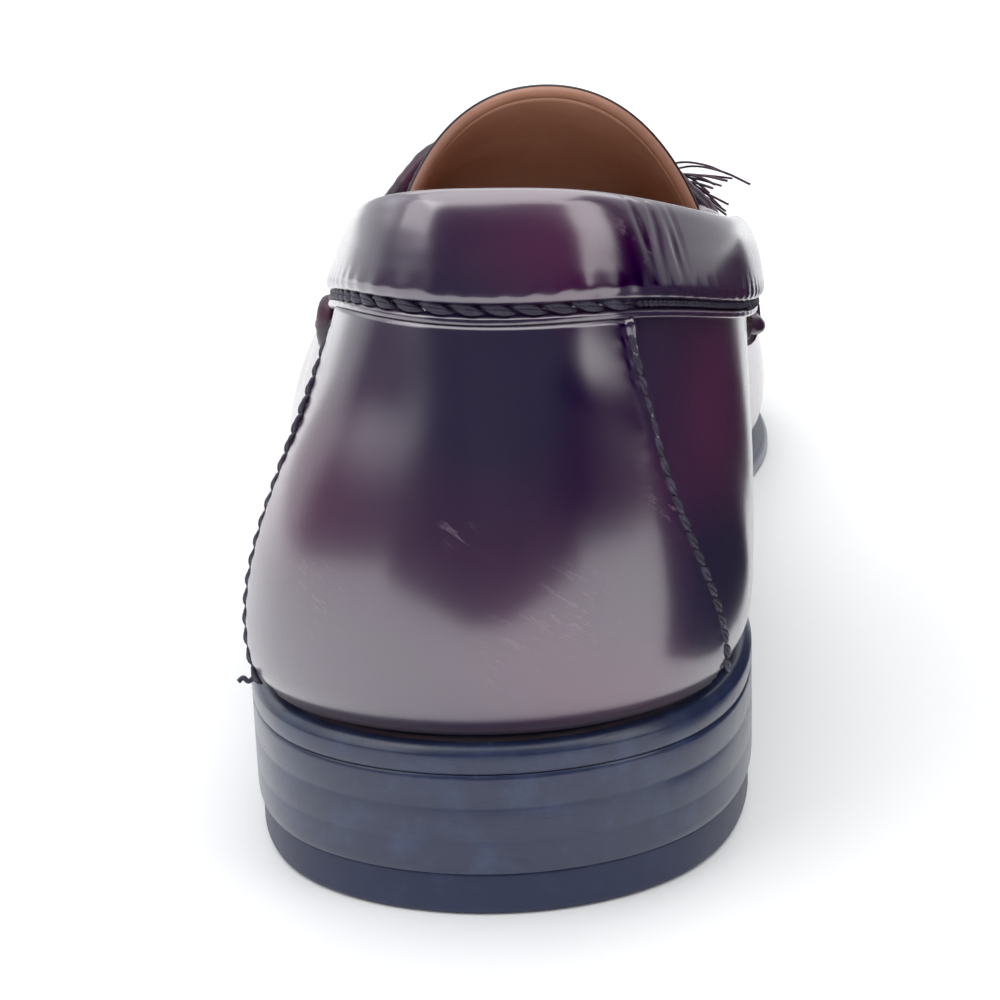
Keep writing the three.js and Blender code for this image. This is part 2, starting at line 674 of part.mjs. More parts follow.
const soleEdge = (u) => soleMargin * margin(u);
const seat = heelHeight - soleThickness;
add("outsole", layer(soleEdge, (y) => soleTop(y) - soleThickness, soleTop), 0x17171b, 0.45);
add("heel_stack", heelBlock(liftHeight, seat, stackTaper, 0), 0x17171b, 0.4);
add("top_lift", heelBlock(0, liftHeight, heelTaper, stackTaper), 0x121214, 0.7);
const insoleBed = (y) => soleTop(y) + fitGap;
const insoleFace = (y) => insoleBed(y) + insoleThickness;
add("insole", layer(() => -leather - fitGap, insoleBed, insoleFace), 0xb5743c, 0.6);
add("upper", upperForm, 0x4a0d18, 0.25);
add("back_counter", backCounter(), 0x4a0d18, 0.25);
add("collar_band", collarBand(), 0x3d0a14, 0.3);
add("lace", tube(laceLine, laceWidth / 2, laceSpans), 0x1c0c10, 0.4);
add("lace_knot", knot(), 0x1c0c10, 0.4);
for (const [side, { way }] of Object.entries(sides)) {
  add(`lace_end_${side}`, tube(freeEnd(way), laceWidth / 2, endSpans), 0x1c0c10, 0.4);
  add(`tassel_${side}`, tassel(way), 0x1c0c10, 0.45);
}

export default parts;
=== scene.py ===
# A left tassel loafer in polished oxblood leather, dressed over its construction.
# +Y runs from heel to toe, +X to the inner side and +Z up; the floor is at z = 0.
# Sizes here are in millimetres, and every mesh is brought to metres as it is made.
import math
import random

import bpy
import bmesh
import numpy as np
from mathutils import Euler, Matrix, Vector
from mathutils.bvhtree import BVHTree


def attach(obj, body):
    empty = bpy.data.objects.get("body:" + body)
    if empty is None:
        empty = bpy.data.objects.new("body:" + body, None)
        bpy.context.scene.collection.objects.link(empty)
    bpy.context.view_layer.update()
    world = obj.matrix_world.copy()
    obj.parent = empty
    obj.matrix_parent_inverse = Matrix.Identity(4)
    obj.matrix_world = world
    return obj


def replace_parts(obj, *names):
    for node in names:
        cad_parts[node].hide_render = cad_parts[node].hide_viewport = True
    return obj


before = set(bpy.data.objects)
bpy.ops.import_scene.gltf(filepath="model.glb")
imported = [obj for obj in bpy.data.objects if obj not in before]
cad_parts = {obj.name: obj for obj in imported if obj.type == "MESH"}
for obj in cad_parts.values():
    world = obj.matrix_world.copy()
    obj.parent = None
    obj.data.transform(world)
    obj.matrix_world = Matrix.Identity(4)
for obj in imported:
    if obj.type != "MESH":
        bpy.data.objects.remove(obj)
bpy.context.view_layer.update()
mm = 0.001

# Camera: the photograph's eye, turned from its middle to the left shoe's

view = {
    "eye": (16.994, -268.931, 120.114),
    "down": 15.65,  # degrees
    "right": 4.019,
    "focus": 1684.87,  # focal length in the photograph's pixels
    "photoWide": 1000,
    "shoeMiddle": (286, 520),  # the left shoe's middle in the photograph
    "closer": 1.3,
}


def addCamera():
    camera = bpy.data.objects.new("camera", bpy.data.cameras.new("camera"))
    bpy.context.scene.collection.objects.link(camera)
    half = view["photoWide"] / 2
    across, down = view["shoeMiddle"]
    aim = Vector(((across - half) / view["focus"], (half - down) / view["focus"], -1))
    level = Euler((math.radians(90 - view["down"]), 0, math.radians(-view["right"])))
    camera.rotation_mode = "QUATERNION"
    camera.rotation_quaternion = level.to_quaternion() @ Vector((0, 0, -1)).rotation_difference(aim)
    camera.location = Vector(view["eye"]) * mm
    camera.data.lens = camera.data.sensor_width * view["focus"] / view["photoWide"] * view["closer"]
    bpy.context.scene.camera = camera


addCamera()
print("camera placed")

# The last: the same ribs and sizes that the construction was drawn from

last = {
    "length": 290,
    "ball": 95,
    "heel": 64,
    "quarter": 62,  # heel seat to topline
    "vamp": 26,  # feather line to apron seam at the toe
    "seat": 22,
    "sole": 3.8,
    "soleMargin": 2.6,
    "breast": 66,
    "hollow": 4,
    "treadFrom": 174,
    "treadTo": 212,
    "toeSpring": 8.5,
    "gap": 0.3,
    "leather": 2,
    "apronRise": 22,
    "tongue": 13,
    "fullness": 0.65,
}
start = last["breast"] / 2  # the origin's distance from the heel back
ribColumns = ("foot", "footAt", "edge", "edgeAt", "rise", "out", "up", "lean", "drop", "margin")
ribs = [
    ("heelBack", "heel", 0, 0, 0.09, 0.024, 1, 0.13, 0.3, 0.04, 0.36, 0.3),
    ("heelCornerOut", "heel", -0.76, 0.036, -0.27, 0.035, 0.99, 0.12, 0.3, 0.04, 0.36, 0.3),
    ("heelSideOut", "heel", -1.01, 0.117, -0.47, 0.107, 0.92, 0.08, 0.3, 0.05, 0.34, 0.35),
    ("quarterOut", "heel", -1.06, 0.228, -0.59, 0.214, 0.81, 0.08, 0.3, 0.06, 0.32, 0.4),
    ("waistOut", "heel", -1.13, 0.355, -0.65, 0.31, 0.8, 0.07, 0.3, 0.08, 0.3, 0.6),
    ("throatOut", "toe", -0.87, 0.476, -0.41, 0.4, 2.2, 0.08, 0.28, 0.12, 0.2, 0.8),
    ("vampOut", "toe", -1, 0.597, -0.56, 0.538, 1.98, 0.11, 0.3, 0.18, 0.18, 1),
    ("ballOut", "toe", -1.02, 0.71, -0.685, 0.662, 1.6, 0.14, 0.36, 0.24, 0.18, 1),
    ("foreOut", "toe", -0.905, 0.831, -0.65, 0.783, 1.3, 0.16, 0.42, 0.28, 0.2, 1),
    ("toeCornerOut", "toe", -0.56, 0.942, -0.39, 0.883, 1.04, 0.18, 0.5, 0.36, 0.2, 1),
    ("toe", "toe", 0.115, 1, 0.09, 0.922, 0.95, 0.2, 0.54, 0.4, 0.2, 1),
    ("toeCornerIn", "toe", 0.65, 0.942, 0.485, 0.886, 1.06, 0.18, 0.5, 0.34, 0.2, 1),
    ("foreIn", "toe", 0.885, 0.831, 0.67, 0.786, 1.36, 0.16, 0.42, 0.26, 0.2, 1),
    ("ballIn", "toe", 0.91, 0.717, 0.67, 0.669, 1.66, 0.12, 0.38, 0.2, 0.2, 1),
    ("vampIn", "toe", 0.74, 0.597, 0.62, 0.538, 1.96, 0.07, 0.34, 0.12, 0.2, 0.9),
    ("throatIn", "toe", 0.62, 0.469, 0.62, 0.4, 2.15, 0.09, 0.32, 0.08, 0.22, 0.6),
    ("waistIn", "heel", 0.88, 0.348, 1.03, 0.31, 0.79, 0.06, 0.32, 0.05, 0.3, 0.4),
    ("quarterIn", "heel", 0.95, 0.228, 1.02, 0.214, 0.8, 0.07, 0.3, 0.04, 0.32, 0.35),
    ("heelSideIn", "heel", 0.99, 0.117, 0.84, 0.107, 0.89, 0.08, 0.3, 0.03, 0.34, 0.3),
    ("heelCornerIn", "heel", 0.72, 0.036, 0.49, 0.041, 0.975, 0.1, 0.3, 0.03, 0.36, 0.3),
]
spine = ((0.4, 1), (0.5, 0.76), (0.6, 0.56), (0.7, 0.41), (0.8, 0.29), (0.88, 0.2))  # at, rise


def mix(a, b, s):
    return a + (b - a) * s


def unit(ways):
    return ways / np.maximum(np.linalg.norm(ways, axis=-1, keepdims=True), 1e-9)


def stack(*columns):
    return np.stack(np.broadcast_arrays(*columns), -1)


def bell(away, broad):  # 1 in the middle, fading over a breadth
    return np.exp(-((away / broad) ** 2))


def smoothLine(points, per=12):
    points = np.asarray(points, float)
    run = np.vstack([2 * points[0] - points[1], points, 2 * points[-1] - points[-2]])
    t = (np.arange(per) / per)[:, None]
    line = []
    for a, b, c, d in zip(run, run[1:], run[2:], run[3:]):
        before, here, after = (max(np.linalg.norm(q - p), 1e-6) ** 0.5 for p, q in ((a, b), (b, c), (c, d)))
        leave = ((b - a) / before - (c - a) / (before + here) + (c - b) / here) * here
        arrive = ((c - b) / here - (d - b) / (here + after) + (d - c) / after) * here
        bend = (2 * t**3 - 3 * t**2 + 1) * b + (t**3 - 2 * t**2 + t) * leave
        line.append(bend + (3 * t**2 - 2 * t**3) * c + (t**3 - t**2) * arrive)
    return np.vstack([*line, points[-1:]])


def soleTop(y):
    at = y + start
    shank = np.clip((at - last["breast"]) / (last["treadFrom"] - last["breast"]), 0, 1)
    rise = (last["seat"] - last["sole"]) * (0.5 + 0.5 * np.cos(np.pi * shank))
    ahead = np.maximum(0, at - last["treadTo"]) / (last["length"] - last["treadTo"])
    return last["sole"] + rise + last["toeSpring"] * ahead**2


def closedCurve(knots, values):
    n = len(values)
    span = np.diff(knots)
    sums = np.zeros((n, n))
    pull = np.zeros(n)
    for i in range(n):
        after = (i + 1) % n
        sums[i, i - 1] += span[i - 1]
        sums[i, i] += 2 * (span[i - 1] + span[i])
        sums[i, after] += span[i]
        pull[i] = 6 * ((values[after] - values[i]) / span[i] - (values[i] - values[i - 1]) / span[i - 1])
    bend = np.linalg.solve(sums, pull)

    def at(u):
        turn = np.asarray(u, float) % 1
        i = np.clip(np.searchsorted(knots, turn, side="right") - 1, 0, n - 1)
        after = (i + 1) % n
        h = span[i]
        a = (knots[i + 1] - turn) / h
        b = 1 - a
        line = a * values[i] + b * values[after]
        return line + ((a**3 - a) * bend[i] + (b**3 - b) * bend[after]) * h * h / 6

    return at


wide = {"heel": last["heel"] / 2, "toe": last["ball"] / 2}
tall = {"heel": last["quarter"], "toe": last["vamp"]}
rows = [(end, dict(zip(ribColumns, values))) for _, end, *values in ribs]
footPlan = np.array([(r["foot"] * wide[end], r["footAt"] * last["length"]) for end, r in rows])
steps = np.linalg.norm(np.roll(footPlan, -1, 0) - footPlan, axis=1)
girth = steps.sum()
knots = np.concatenate([[0], np.cumsum(steps) / girth])
place = {name: knots[i] for i, (name, *_) in enumerate(ribs)}


def curveOf(value):
    return closedCurve(knots, np.array([value(end, r) for end, r in rows], float))


footX = curveOf(lambda end, r: r["foot"] * wide[end])
footY = curveOf(lambda end, r: r["footAt"] * last["length"] - start)
edgeX = curveOf(lambda end, r: r["edge"] * wide[end])
edgeY = curveOf(lambda end, r: r["edgeAt"] * last["length"] - start)
edgeRise = curveOf(lambda end, r: r["rise"] * tall[end])
out, rising, lean, drop, margin = (
    curveOf(lambda end, r, key=key: r[key]) for key in ("out", "up", "lean", "drop", "margin")
)


def outward(u):
    step = 1e-3
    along = stack(footX(u + step) - footX(u - step), footY(u + step) - footY(u - step))
    return unit(stack(-along[..., 1], along[..., 0], 0 * along[..., 0]))


def rib(u):
    u = np.asarray(u, float)
    y = footY(u)
    foot = stack(footX(u), y, soleTop(y) + last["gap"])
    rise = edgeRise(u)
    edge = stack(edgeX(u), edgeY(u), foot[..., 2] + rise)
    away = outward(u)
    up = np.array([0, 0, 1])
    low = foot + away * (out(u) * rise)[..., None] + up * (rising(u) * rise)[..., None]
    high = edge + away * (lean(u) * rise)[..., None] - up * (drop(u) * rise)[..., None]
    return foot, low, high, edge


def bezier(line, t):
    a, b, c, d = line
    t = np.asarray(t, float)[..., None]
    r = 1 - t
    return a * r**3 + 3 * b * r**2 * t + 3 * c * r * t**2 + d * t**3


def bezierWay(line, t):
    a, b, c, d = line
    t = np.asarray(t, float)[..., None]
    r = 1 - t
    return unit((b - a) * r**2 + 2 * (c - b) * r * t + (d - c) * t**2)


def wall(u, t, off=0.0):  # u round the shoe, t from foot to edge, off out of the surface
    u, t, off = np.broadcast_arrays(np.asarray(u, float), t, off)
    line = rib(u)
    step = 2e-3
    along = bezier(rib(u + step), t) - bezier(rib(u - step), t)
    normal = unit(np.cross(bezierWay(line, t), along))
    return bezier(line, t) + normal * off[..., None]


def ribLength(u):
    points = bezier(tuple(p[..., None, :] for p in rib(u)), np.linspace(0, 1, 60))
    return np.linalg.norm(np.diff(points, axis=-2), axis=-1).sum(-1)


def nearEdge(u, down, off):  # down is the distance below the wall's edge, and below 0 it stands above
    u, down, off = np.broadcast_arrays(np.asarray(u, float), down, off)
    point = wall(u, np.clip(1 - down / ribLength(u), 0, 1), off)
    return point + bezierWay(rib(u), np.ones_like(u)) * np.maximum(0, -down)[..., None]


throatOut, throatIn, toe = place["throatOut"], place["throatIn"], place["toe"]


def seamPoint(u):
    return rib(u)[3]


def spineLine():
    points = []
    for i, (at, rise) in enumerate(spine):
        share = i / (len(spine) - 1)
        middle = (seamPoint(mix(throatOut, toe, share)) + seamPoint(mix(throatIn, toe, share))) / 2
        y = at * last["length"] - start - (last["tongue"] if i == 0 else 0)
        points.append((middle[0], y, middle[2] + rise * last["apronRise"]))
    return smoothLine(points, 64)


spineRun = spineLine()
spineShare = np.linspace(0, 1, len(spineRun))


def onSpine(s):
    s = np.clip(np.asarray(s, float), 0, 1)
    at = lambda share: stack(*(np.interp(share, spineShare, spineRun[:, k]) for k in range(3)))
    step = 2e-3
    return at(s), unit(at(np.clip(s + step, 0, 1)) - at(np.clip(s - step, 0, 1)))


def apron(s, w):  # s from throat to toe, w from -1 at the outer seam over the spine to 1 at the inner one
    s, w = np.broadcast_arrays(np.asarray(s, float), w)
    ridge, slope = onSpine(s)
    edge = seamPoint(mix(np.where(w < 0, throatOut, throatIn), toe, s))
    reach = (edge - ridge) * last["fullness"]
    reach[..., 1] *= s
    reach[..., 2] = reach[..., 1] * slope[..., 2] / slope[..., 1]
    v = (1 - np.abs(w))[..., None]
    return edge * (1 - v) ** 2 + (ridge + reach) * 2 * v * (1 - v) + ridge * v**2


def apronOff(s, w, off):
    step = 4e-3
    inside = np.clip(w, step - 1, 1 - step)
    along = apron(np.minimum(s + step, 1), inside) - apron(np.maximum(s - step, 0), inside)
    across = apron(s, inside + step) - apron(s, inside - step)
    normal = unit(np.cross(across, along))
    return apron(s, w) + normal * np.asarray(off, float)[..., None]


# Meshes from grids of points


class Pile:  # points and faces gathered into one piece
    def __init__(self):
        self.points, self.faces, self.count = [], [], 0

    def add(self, points, faces):
        points = np.asarray(points, float).reshape(-1, 3)
        self.points.append(points)
        self.faces += [tuple(i + self.count for i in face) for face in faces]
        self.count += len(points)

    def piece(self, name, finish, slot, sharp=None, merge=0.0):
        mesh = bpy.data.meshes.new(name)
        mesh.from_pydata((np.vstack(self.points) * mm).tolist(), [], self.faces)
        form = bmesh.new()
        form.from_mesh(mesh)
        if merge:
            bmesh.ops.remove_doubles(form, verts=form.verts, dist=merge * mm)
            bmesh.ops.dissolve_degenerate(form, edges=form.edges, dist=1e-7)
        bmesh.ops.recalc_face_normals(form, faces=form.faces)
        form.to_mesh(mesh)
        form.free()
        mesh.shade_smooth()
        if sharp:
            mesh.set_sharp_from_angle(angle=math.radians(sharp))
        made = bpy.data.objects.new(name, mesh)
        bpy.context.scene.collection.objects.link(made)
        made.data.materials.append(finish)
        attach(made, "root")
        return made


def gridFaces(columns, rows, around=False, closed=False):
    faces = []
    for i in range(columns if around else columns - 1):
        k = (i + 1) % columns
        for j in range(rows if closed else rows - 1):
            m = (j + 1) % rows
            faces.append((i * rows + j, k * rows + j, k * rows + m, i * rows + m))
    return faces


def aboveFoot(grid):  # the way up from the grid's lowest row
    up = np.linalg.norm(np.diff(grid, axis=1), axis=-1)
    return np.hstack([np.zeros((len(grid), 1)), np.cumsum(up, 1)])


def sheet(name, grid, finish, slot, thick, around=False, merge=0.0, feather=0.0):
    pile = Pile()
    pile.add(grid, gridFaces(grid.shape[0], grid.shape[1], around))
    made = pile.piece(name, finish, slot, merge=merge)
    mesh = made.data
    # painted shade: the feather attribute is 1 at the lowest row and fades upward, to darken the leather at
    # the sole's crevice
    if feather:
        low = bell(aboveFoot(grid), feather)
        mesh.attributes.new("feather", "FLOAT", "POINT").data.foreach_set("value", low.ravel())
    middle = np.array([v.co for v in mesh.vertices]).mean(0)
    facing = sum((Vector(p.center) - Vector(middle)).dot(p.normal) for p in mesh.polygons)
    if facing < 0:
        mesh.flip_normals()
    solid = made.modifiers.new("thick", "SOLIDIFY")
    solid.thickness = thick * mm
    solid.offset = -1
    return made


def ringed(points):  # a closed section carried along a line, with both ends filled
    columns, rows = points.shape[:2]
    faces = gridFaces(columns, rows, closed=True)
    faces.append(tuple(range(rows)))
    faces.append(tuple(range((columns - 1) * rows, columns * rows))[::-1])
    return faces


def runFrames(line, lift=None):  # tangents and two ways across at each point of a line
    way = unit(np.gradient(line, axis=0))
    if lift is None:
        side = np.zeros_like(line)
        guess = np.array([0, 0, 1.0]) if abs(way[0][2]) < 0.9 else np.array([1.0, 0, 0])
        for i, t in enumerate(way):
            guess = guess - t * guess.dot(t)
            guess = guess / np.linalg.norm(guess)
            side[i] = guess
        lift = side
    lift = unit(lift - way * (lift * way).sum(-1, keepdims=True))
    return way, lift, np.cross(way, lift)


def tube(line, radius, sides=10, flat=1.0, lift=None):
    line = np.asarray(line, float)
    _, high, across = runFrames(line, lift)
    radius = np.broadcast_to(radius, len(line))[:, None, None]
    turn = np.linspace(0, 2 * np.pi, sides, endpoint=False)[None, :]
    ring = high[:, None] * np.sin(turn)[..., None] * flat + across[:, None] * np.cos(turn)[..., None]
    points = line[:, None] + ring * radius
    return points, ringed(points)


def lineLength(line):
    return np.concatenate([[0], np.cumsum(np.linalg.norm(np.diff(line, axis=0), axis=1))])


def readAt(run, values, spots):  # values along a line, read at distances from its start
    return stack(*(np.interp(spots, run, values[:, k]) for k in range(3)))


# Finishes


class Wire:  # a shader socket that takes part in sums
    def __init__(self, shader, socket):
        self.shader, self.socket = shader, socket

    def maths(self, operation, a, b):
        return self.shader.node("ShaderNodeMath", {"operation": operation}, {0: a, 1: b})

    def __add__(self, other):
        return self.maths("ADD", self, other)

    __radd__ = __add__

    def __sub__(self, other):
        return self.maths("SUBTRACT", self, other)

    def __rsub__(self, other):
        return self.maths("SUBTRACT", other, self)

    def __mul__(self, other):
        return self.maths("MULTIPLY", self, other)


class Shader:
    def __init__(self, name):
        self.material = bpy.data.materials.new(name)
        self.material.use_nodes = True
        self.tree = self.material.node_tree
        self.surface = self.tree.nodes["Principled BSDF"]

    def named(self, sockets, key):
        return next((s for s in sockets if key in (s.identifier, s.name)), None) or sockets[key]

    def put(self, node, sockets):
        for key, value in sockets.items():
            socket = self.named(node.inputs, key)
            if isinstance(value, Wire):
                self.tree.links.new(value.socket, socket)
            else:
                socket.default_value = value

    def node(self, kind, settings=None, sockets=None, result=0):
        node = self.tree.nodes.new(kind)
        for key, value in (settings or {}).items():
            setattr(node, key, value)
        self.put(node, sockets or {})
        return Wire(self, self.named(node.outputs, result))

    def spots(self):  # the surface point in millimetres
        point = self.node("ShaderNodeTexCoord", result="Object")
        return self.node("ShaderNodeVectorMath", {"operation": "SCALE"}, {0: point, "Scale": 1 / mm})

    def stretched(self, point, ways):
        return self.node("ShaderNodeVectorMath", {"operation": "MULTIPLY"}, {0: point, 1: ways})

    def noise(self, point, size, detail=2.0, rough=0.5):
        sockets = {"Vector": point, "Scale": 1 / size, "Detail": detail, "Roughness": rough}
        return self.node("ShaderNodeTexNoise", None, sockets)

    def cells(self, point, size):
        return self.node("ShaderNodeTexVoronoi", None, {"Vector": point, "Scale": 1 / size})

    def fade(self, value, low, high):  # 0 at low to 1 at high
        settings = {"interpolation_type": "SMOOTHSTEP"}
        return self.node("ShaderNodeMapRange", settings, {0: value, 1: low, 2: high})

    def near(self, point, centre, radius):  # 1 at a point, 0 beyond the radius
        far = self.node("ShaderNodeVectorMath", {"operation": "DISTANCE"}, {0: point, 1: centre}, "Value")
        return self.fade(far, radius, 0.0)

    def blend(self, factor, a, b):
        paint = lambda c: c if isinstance(c, Wire) else (*c, 1)
        sockets = {"Factor_Float": factor, "A_Color": paint(a), "B_Color": paint(b)}
        return self.node("ShaderNodeMix", {"data_type": "RGBA"}, sockets, "Result_Color")

    def bump(self, height, deep):
        return self.node("ShaderNodeBump", None, {"Strength": 1.0, "Distance": deep * mm, "Height": height})

    def finish(self, **sockets):
        self.put(self.surface, sockets)
        return self.material


oxblood = {
    "wine": (0.07, 0.009, 0.046),
    "night": (0.011, 0.008, 0.03),
    "scuffed": (0.3, 0.22, 0.28),
    "foot": (0.006, 0.005, 0.014),  # painted shade in the crevice at the sole, also the colour of the nick
    "cloud": 48.0,  # sizes of the brushed patches, mottling, ripples, grain, pores, streaks and scuffs
    "mottle": 3.2,
    "ripples": 7.0,
    "grain": 0.55,
    "pores": 0.9,
    "streaks": 0.6,
    "strokes": 1.5,
    "slant": -0.62,  # of the scuffs, in radians
    "brushedFrom": 0.4,  # cloud values between which night turns to wine
    "brushedTo": 0.68,
    "gloss": 0.3,  # roughness under the coat
    "deep": 0.02,  # height of the bumps
    "brushed": (  # x, y, z, radius, share of wine
        (-22.0, -22.0, 52.0, 20.0, 0.65),
        (-12.0, -32.0, 47.0, 14.0, 0.15),
        (-0.6, -36.5, 41.0, 17.0, 0.12),
        (28.0, -10.0, 57.0, 22.0, 0.3),
        (9.0, -31.0, 80.0, 14.0, 0.55),
        (30.0, -15.0, 32.0, 20.0, -0.8),
        (2.0, -33.0, 66.0, 14.0, -0.4),
    ),
    "scuffs": (  # x, y, z, radius
        (4.1, -37.5, 34.7, 6.5),
        (10.7, -35.5, 38.8, 7.5),
        (-20.5, -31.0, 39.5, 7.0),
        (22.0, -26.5, 48.6, 5.5),
        (-2.3, -36.2, 49.0, 3.0),
        (19.0, -23.0, 79.0, 6.0),
    ),
    "nick": (-8.2, -37.6, 37.6),
    "nickWide": 1.5,
    "polish": {
        "Coat Roughness": 0.19,
        "Coat IOR": 2.1,
        "IOR": 1.6,
        "Specular IOR Level": 0.55,
        "Specular Tint": (1.0, 0.76, 0.88, 1),
    },
}


def scuffMarks(s, point, look):  # fine slanted strokes inside the scuffed spots
    scuffed = 0.0
    for x, y, z, radius in look["scuffs"]:
        scuffed = s.near(point, (x, y, z), radius) + scuffed
    turn = {"Vector": point, "Angle": look["slant"]}
    slanted = s.node("ShaderNodeVectorRotate", {"rotation_type": "Y_AXIS"}, turn)
    strokes = s.noise(s.stretched(slanted, (0.3, 0.6, 1.9)), look["strokes"], 3.0, 0.65)
    return scuffed * s.fade(strokes, 0.57, 0.61) * s.fade(strokes, 0.68, 0.63)


def polishedLeather(name, look, darker=0.0):
    s = Shader(name)
    point = s.spots()
    cloud = s.noise(point, look["cloud"], 1.5, 0.45)
    mottle = s.noise(point, look["mottle"], 4.0, 0.6)
    begin, end = look["brushedFrom"] + darker, look["brushedTo"] + darker
    wine = s.fade(cloud + mottle * 0.06 - 0.03, begin, end) * 0.7 + 0.1
    for x, y, z, radius, share in look["brushed"]:
        wine = wine + s.near(point, (x, y, z), radius) * share
    worn = scuffMarks(s, point, look)
    nick = s.near(point, look["nick"], look["nickWide"])
    # foot reads the feather attribute: painted shade at the sole's crevice, which also dulls the coat there
    foot = s.node("ShaderNodeAttribute", {"attribute_name": "feather"}, result="Fac")
    colour = s.blend(wine, look["night"], look["wine"])
    colour = s.blend(worn * 0.3, colour, look["scuffed"])
    # the painted crevice shade and the real nick are darkened with one colour
    colour = s.blend(foot + nick * 0.8, colour, look["foot"])
    grain = s.noise(point, look["grain"], 3.0, 0.6)
    pores = s.cells(point, look["pores"])
    ripples = s.noise(point, look["ripples"], 2.0)
    streaks = s.noise(s.stretched(point, (1.0, 1.0, 0.22)), look["streaks"], 2.0, 0.5)
    return s.finish(**look["polish"], **{
        "Base Color": colour,
        "Roughness": look["gloss"] + mottle * 0.1 + streaks * 0.05 - 0.05 + worn * 0.25 + foot * 0.25,
        "Normal": s.bump(grain * 0.6 + pores * 0.35 + ripples * 1.2 - worn * 1.6 - nick * 14.0, look["deep"]),
        "Coat Weight": 1.0 - foot * 0.9 - worn * 0.2,
    })


edgeInk = {
    "ink": (0.009, 0.015, 0.047),
    "faded": (0.02, 0.033, 0.082),
    "wear": 5.0,  # sizes of the worn patches, the fibres and the rubbed lines
    "fibres": 1.6,
    "rubs": 0.9,
    "gloss": 0.36,
    "deep": 0.03,
}


def inkedEdge(name, look, layered):
    s = Shader(name)
    point = s.spots()
    wear = s.noise(point, look["wear"], 5.0, 0.65)
    fibres = s.noise(s.stretched(point, (0.5, 0.5, 5.0)), look["fibres"], 3.0, 0.6)
    rubs = s.fade(s.noise(s.stretched(point, (0.25, 0.25, 3.0)), look["rubs"], 3.0, 0.6), 0.6, 0.72)
    return s.finish(**{
        "Base Color": s.blend(s.fade(wear, 0.42, 0.75), look["ink"], look["faded"]),
        "Roughness": look["gloss"] + wear * 0.16 - 0.08 + rubs * 0.12,
        "Normal": s.bump(fibres * layered + wear * 0.5 + rubs * 0.6, look["deep"]),
        "Coat Weight": 0.5,
        "Coat Roughness": 0.25,
    })


rubber = {
    "black": (0.008, 0.013, 0.046),
    "dusty": (0.019, 0.028, 0.076),
    "dust": 4.0,  # sizes of the dust and the grit
    "grit": 0.35,
    "paleUpTo": 4.2,  # how high above the floor the lift turns lighter
    "gloss": 0.42,
    "deep": 0.05,
}


def liftRubber(name, look):
    s = Shader(name)
    point = s.spots()
    dust = s.noise(point, look["dust"], 5.0, 0.7)
    grit = s.noise(point, look["grit"], 3.0, 0.6)
    # lighter towards the floor, by height alone
    low = s.fade(s.node("ShaderNodeSeparateXYZ", None, {0: point}, "Z"), look["paleUpTo"], 0.2)
    return s.finish(**{
        "Base Color": s.blend(s.fade(dust, 0.45, 0.8) * 0.7 + low * 0.3, look["black"], look["dusty"]),
        "Roughness": look["gloss"] + dust * 0.2 - 0.08,
        "Normal": s.bump(grit * 0.6 + dust * 0.5, look["deep"]),
    })


# the lining's own tan, raised paler to stand in for the light inside the shoe, so partly painted light
tan = {
    "light": (0.62, 0.37, 0.265),
    "deep": (0.53, 0.3, 0.205),
    "rubbed": (0.44, 0.235, 0.155),
    "cloud": 18.0,  # sizes of the clouds, the rubbed patches, the nap and the pores
    "rubs": 11.0,
    "nap": 2.4,
    "pores": 0.8,
    "gloss": 0.5,
    "bump": 0.05,
}
insoleTan = {**tan, "gloss": 0.42}
# painted shade: a darker copy of the lining's colours, for the lining turned in under the throat's binding
shadedTurnTan = {**tan, "light": (0.36, 0.18, 0.12), "deep": (0.3, 0.145, 0.095)}


def liningLeather(name, look):
    s = Shader(name)
    point = s.spots()
    cloud = s.noise(point, look["cloud"], 3.0, 0.55)
    rubs = s.noise(point, look["rubs"], 5.0, 0.7)
    nap = s.noise(point, look["nap"], 4.0, 0.6)
    pores = s.cells(point, look["pores"])
    colour = s.blend(s.fade(cloud + nap * 0.25, 0.45, 0.8), look["light"], look["deep"])
    colour = s.blend(s.fade(rubs, 0.6, 0.8) * 0.5, colour, look["rubbed"])
    return s.finish(**{
        "Base Color": colour,
        "Roughness": look["gloss"] + nap * 0.14 - 0.07,
        "Normal": s.bump(pores * 0.5 + nap * 0.8, look["bump"]),
        "Coat Weight": 0.08,
        "Coat Roughness": 0.3,
    })


lacing = {
    "dark": (0.02, 0.008, 0.02),
    "warm": (0.06, 0.012, 0.034),
    "cloud": 6.0,
    "grain": 0.6,
    "gloss": 0.36,
    "deep": 0.06,
}
darkRim = {**lacing, "dark": (0.012, 0.008, 0.016), "warm": (0.035, 0.012, 0.022), "gloss": 0.55}


def laceLeather(name, look):
    s = Shader(name)
    point = s.spots()
    cloud = s.noise(point, look["cloud"], 4.0, 0.6)
    grain = s.cells(point, look["grain"])
    return s.finish(**{
        "Base Color": s.blend(s.fade(cloud, 0.4, 0.75), look["dark"], look["warm"]),
        "Roughness": look["gloss"] + cloud * 0.16 - 0.08,
        "Normal": s.bump(grain * 0.5 + cloud, look["deep"]),
        "Coat Weight": 0.2,
        "Coat Roughness": 0.2,
    })


navy = {
    "clean": (0.018, 0.014, 0.03),
    "dusty": (0.0492, 0.0396, 0.078),
    "fibres": 0.18,
    "dust": 1.5,
    "gloss": 0.42,
    "deep": 0.08,
}


def waxedThread(name, look):
    s = Shader(name)
    point = s.spots()
    dust = s.noise(point, look["dust"], 3.0, 0.6)
    return s.finish(**{
        "Base Color": s.blend(s.fade(dust, 0.45, 0.75), look["clean"], look["dusty"]),
        "Roughness": look["gloss"] + dust * 0.2 - 0.1,
        "Normal": s.bump(s.noise(point, look["fibres"], 3.0, 0.6), look["deep"]),
    })


